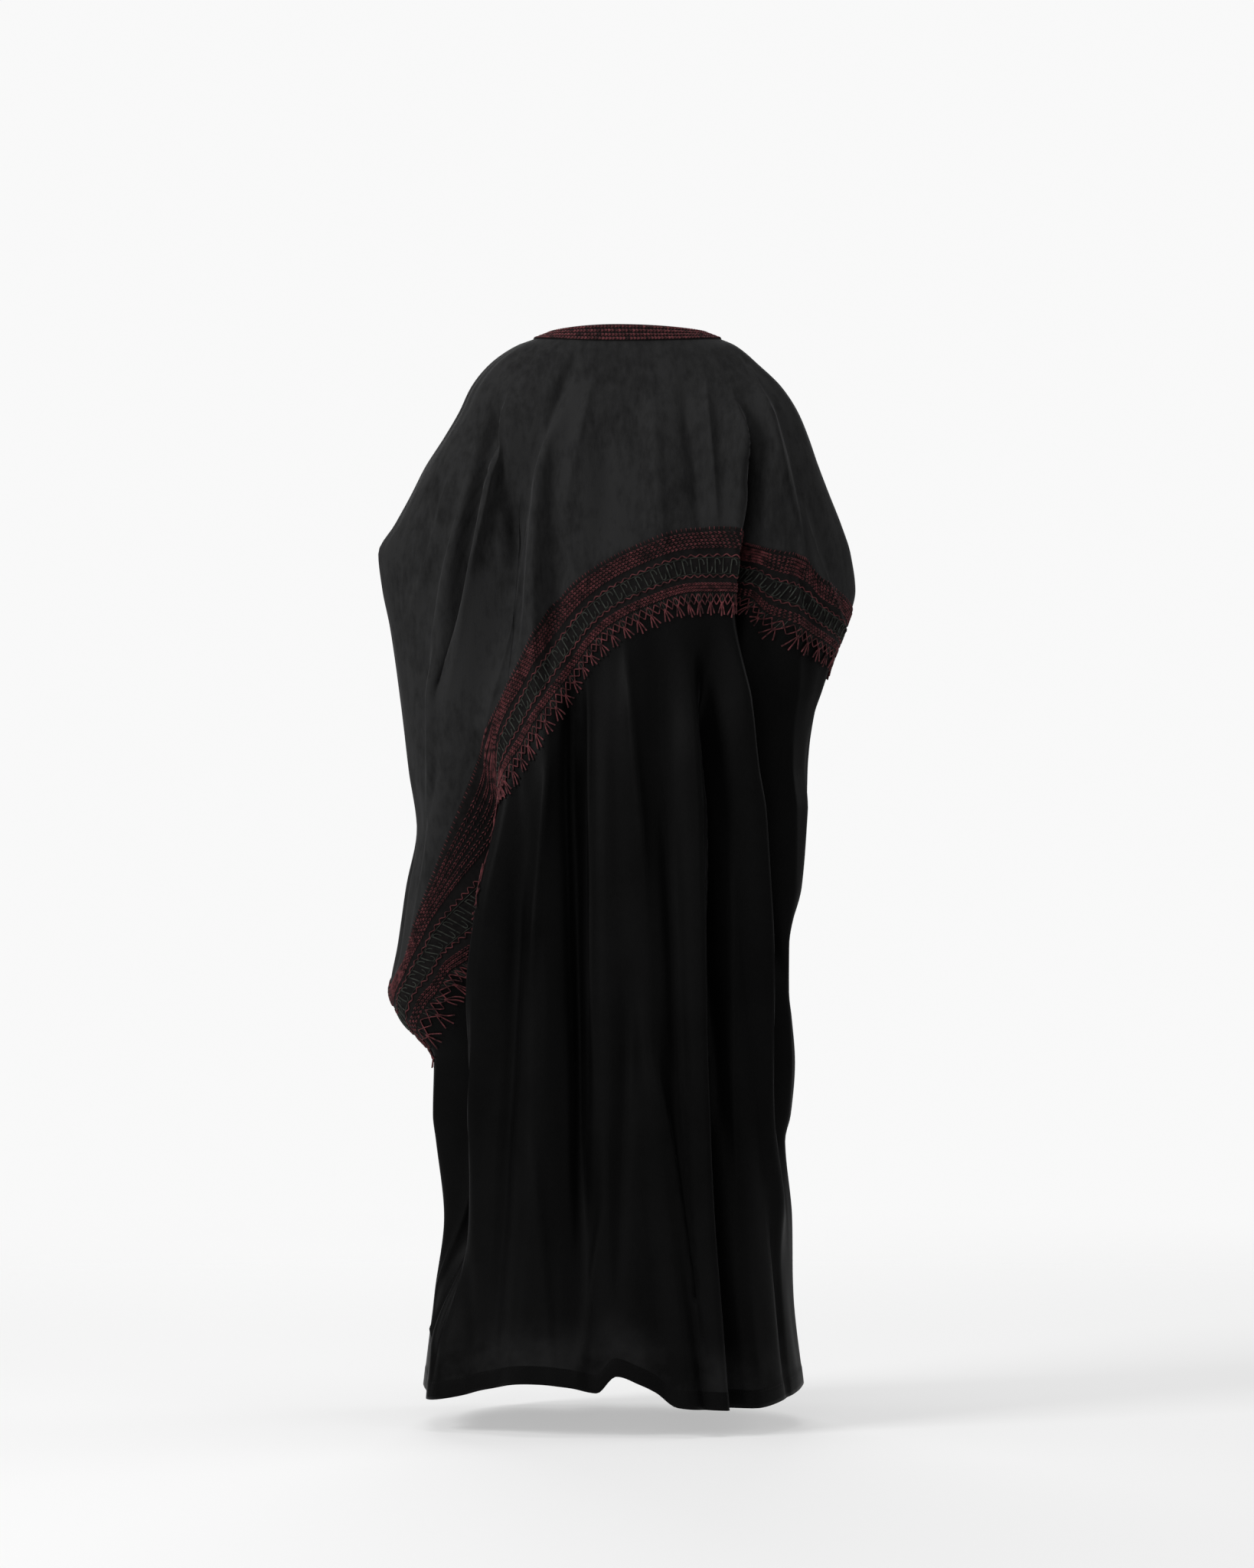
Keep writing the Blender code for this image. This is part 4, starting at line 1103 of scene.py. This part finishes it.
neckGround, neckChain = makeNeckTrim()
print("neck trim made")
# camera, floor and light
view = {
    "lens": 150.0,
    "sensor": 36.0,
    "place": (-0.014, 9.028, -0.628),
    "floorHeight": -1.509,
    "floorHalf": 5.0,
    "floorFade": (1.2, 4.5),
    "floorTone": 0.44,
    "floorGlow": 0.46,  # stands for the light that a white studio throws back everywhere
    "worldSeen": 0.945,
    "worldLight": 0.11,
    "lampAim": (0, 0, -0.7),
}


def makeCamera():
    data = bpy.data.cameras.new("camera")
    data.lens = view["lens"]
    data.sensor_width = view["sensor"]
    data.dof.use_dof = False
    camera = addObject("camera", data)
    camera.location = view["place"]
    camera.rotation_euler = (np.pi / 2, 0, np.pi)
    bpy.context.scene.camera = camera


# a pale floor that fades into the pale background away from the cloak
def makeFloor():
    material, tree, shader = principled("paleFloor", {
        "Roughness": 0.85, "Specular IOR Level": 0.1, "Base Color": (*[view["floorTone"]] * 3, 1),
        "Emission Color": (1, 1, 1, 1), "Emission Strength": view["floorGlow"]})
    place = nodeAt(tree, "ShaderNodeTexCoord", -800, 0).outputs["Object"]
    far = nodeAt(tree, "ShaderNodeVectorMath", -600, 0, {0: place}, operation="LENGTH").outputs["Value"]
    setInputs(tree, shader, {
        "Alpha": mapped(tree, -400, 0, far, start=view["floorFade"], end=(1, 0), way="SMOOTHSTEP")})
    half = view["floorHalf"]
    corners = [(-half, -half, 0), (half, -half, 0), (half, half, 0), (-half, half, 0)]
    floor = makeMesh("floor", corners, [(0, 1, 2, 3)], material, smooth=False)
    floor.location = (0, 0, view["floorHeight"])


def makeWorld():
    world = bpy.data.worlds.new("studio")
    bpy.context.scene.world = world
    world.use_nodes = True
    tree = world.node_tree
    seen = nodeAt(tree, "ShaderNodeLightPath", -600, 200).outputs["Is Camera Ray"]
    setInputs(tree, tree.nodes["Background"], {
        "Color": (1, 1, 1, 1),
        "Strength": mapped(tree, -300, 200, seen, end=(view["worldLight"], view["worldSeen"]))})


lamps = {  # place, size and power
    "keyLamp": ((4.0, 3.0, 2.2), 2.0, 215),
    "cameraLamp": ((0.4, 5.6, 1.4), 2.6, 50),
    "fillLamp": ((-3.4, 3.4, 0.8), 2.6, 22),
    "leftEdgeLamp": ((3.6, -0.6, 0.6), 1.6, 12),
    "rightEdgeLamp": ((-3.4, -1.2, 0.6), 1.6, 26),
    "topLamp": ((0.0, 0.3, 3.2), 2.4, 50),
    "frontLamp": ((0.5, -4.4, 1.2), 2.4, 90),
}


def makeLamps():
    for name, (place, size, power) in lamps.items():
        data = bpy.data.lights.new(name, "AREA")
        data.size = size
        data.energy = power
        lamp = addObject(name, data)
        lamp.location = place
        lamp.rotation_euler = (Vector(view["lampAim"]) - Vector(place)).to_track_quat("-Z", "Y").to_euler()


makeCamera()
makeFloor()
makeWorld()
makeLamps()
bpy.context.scene.view_settings.view_transform = "Standard"
print("camera, floor and light made")
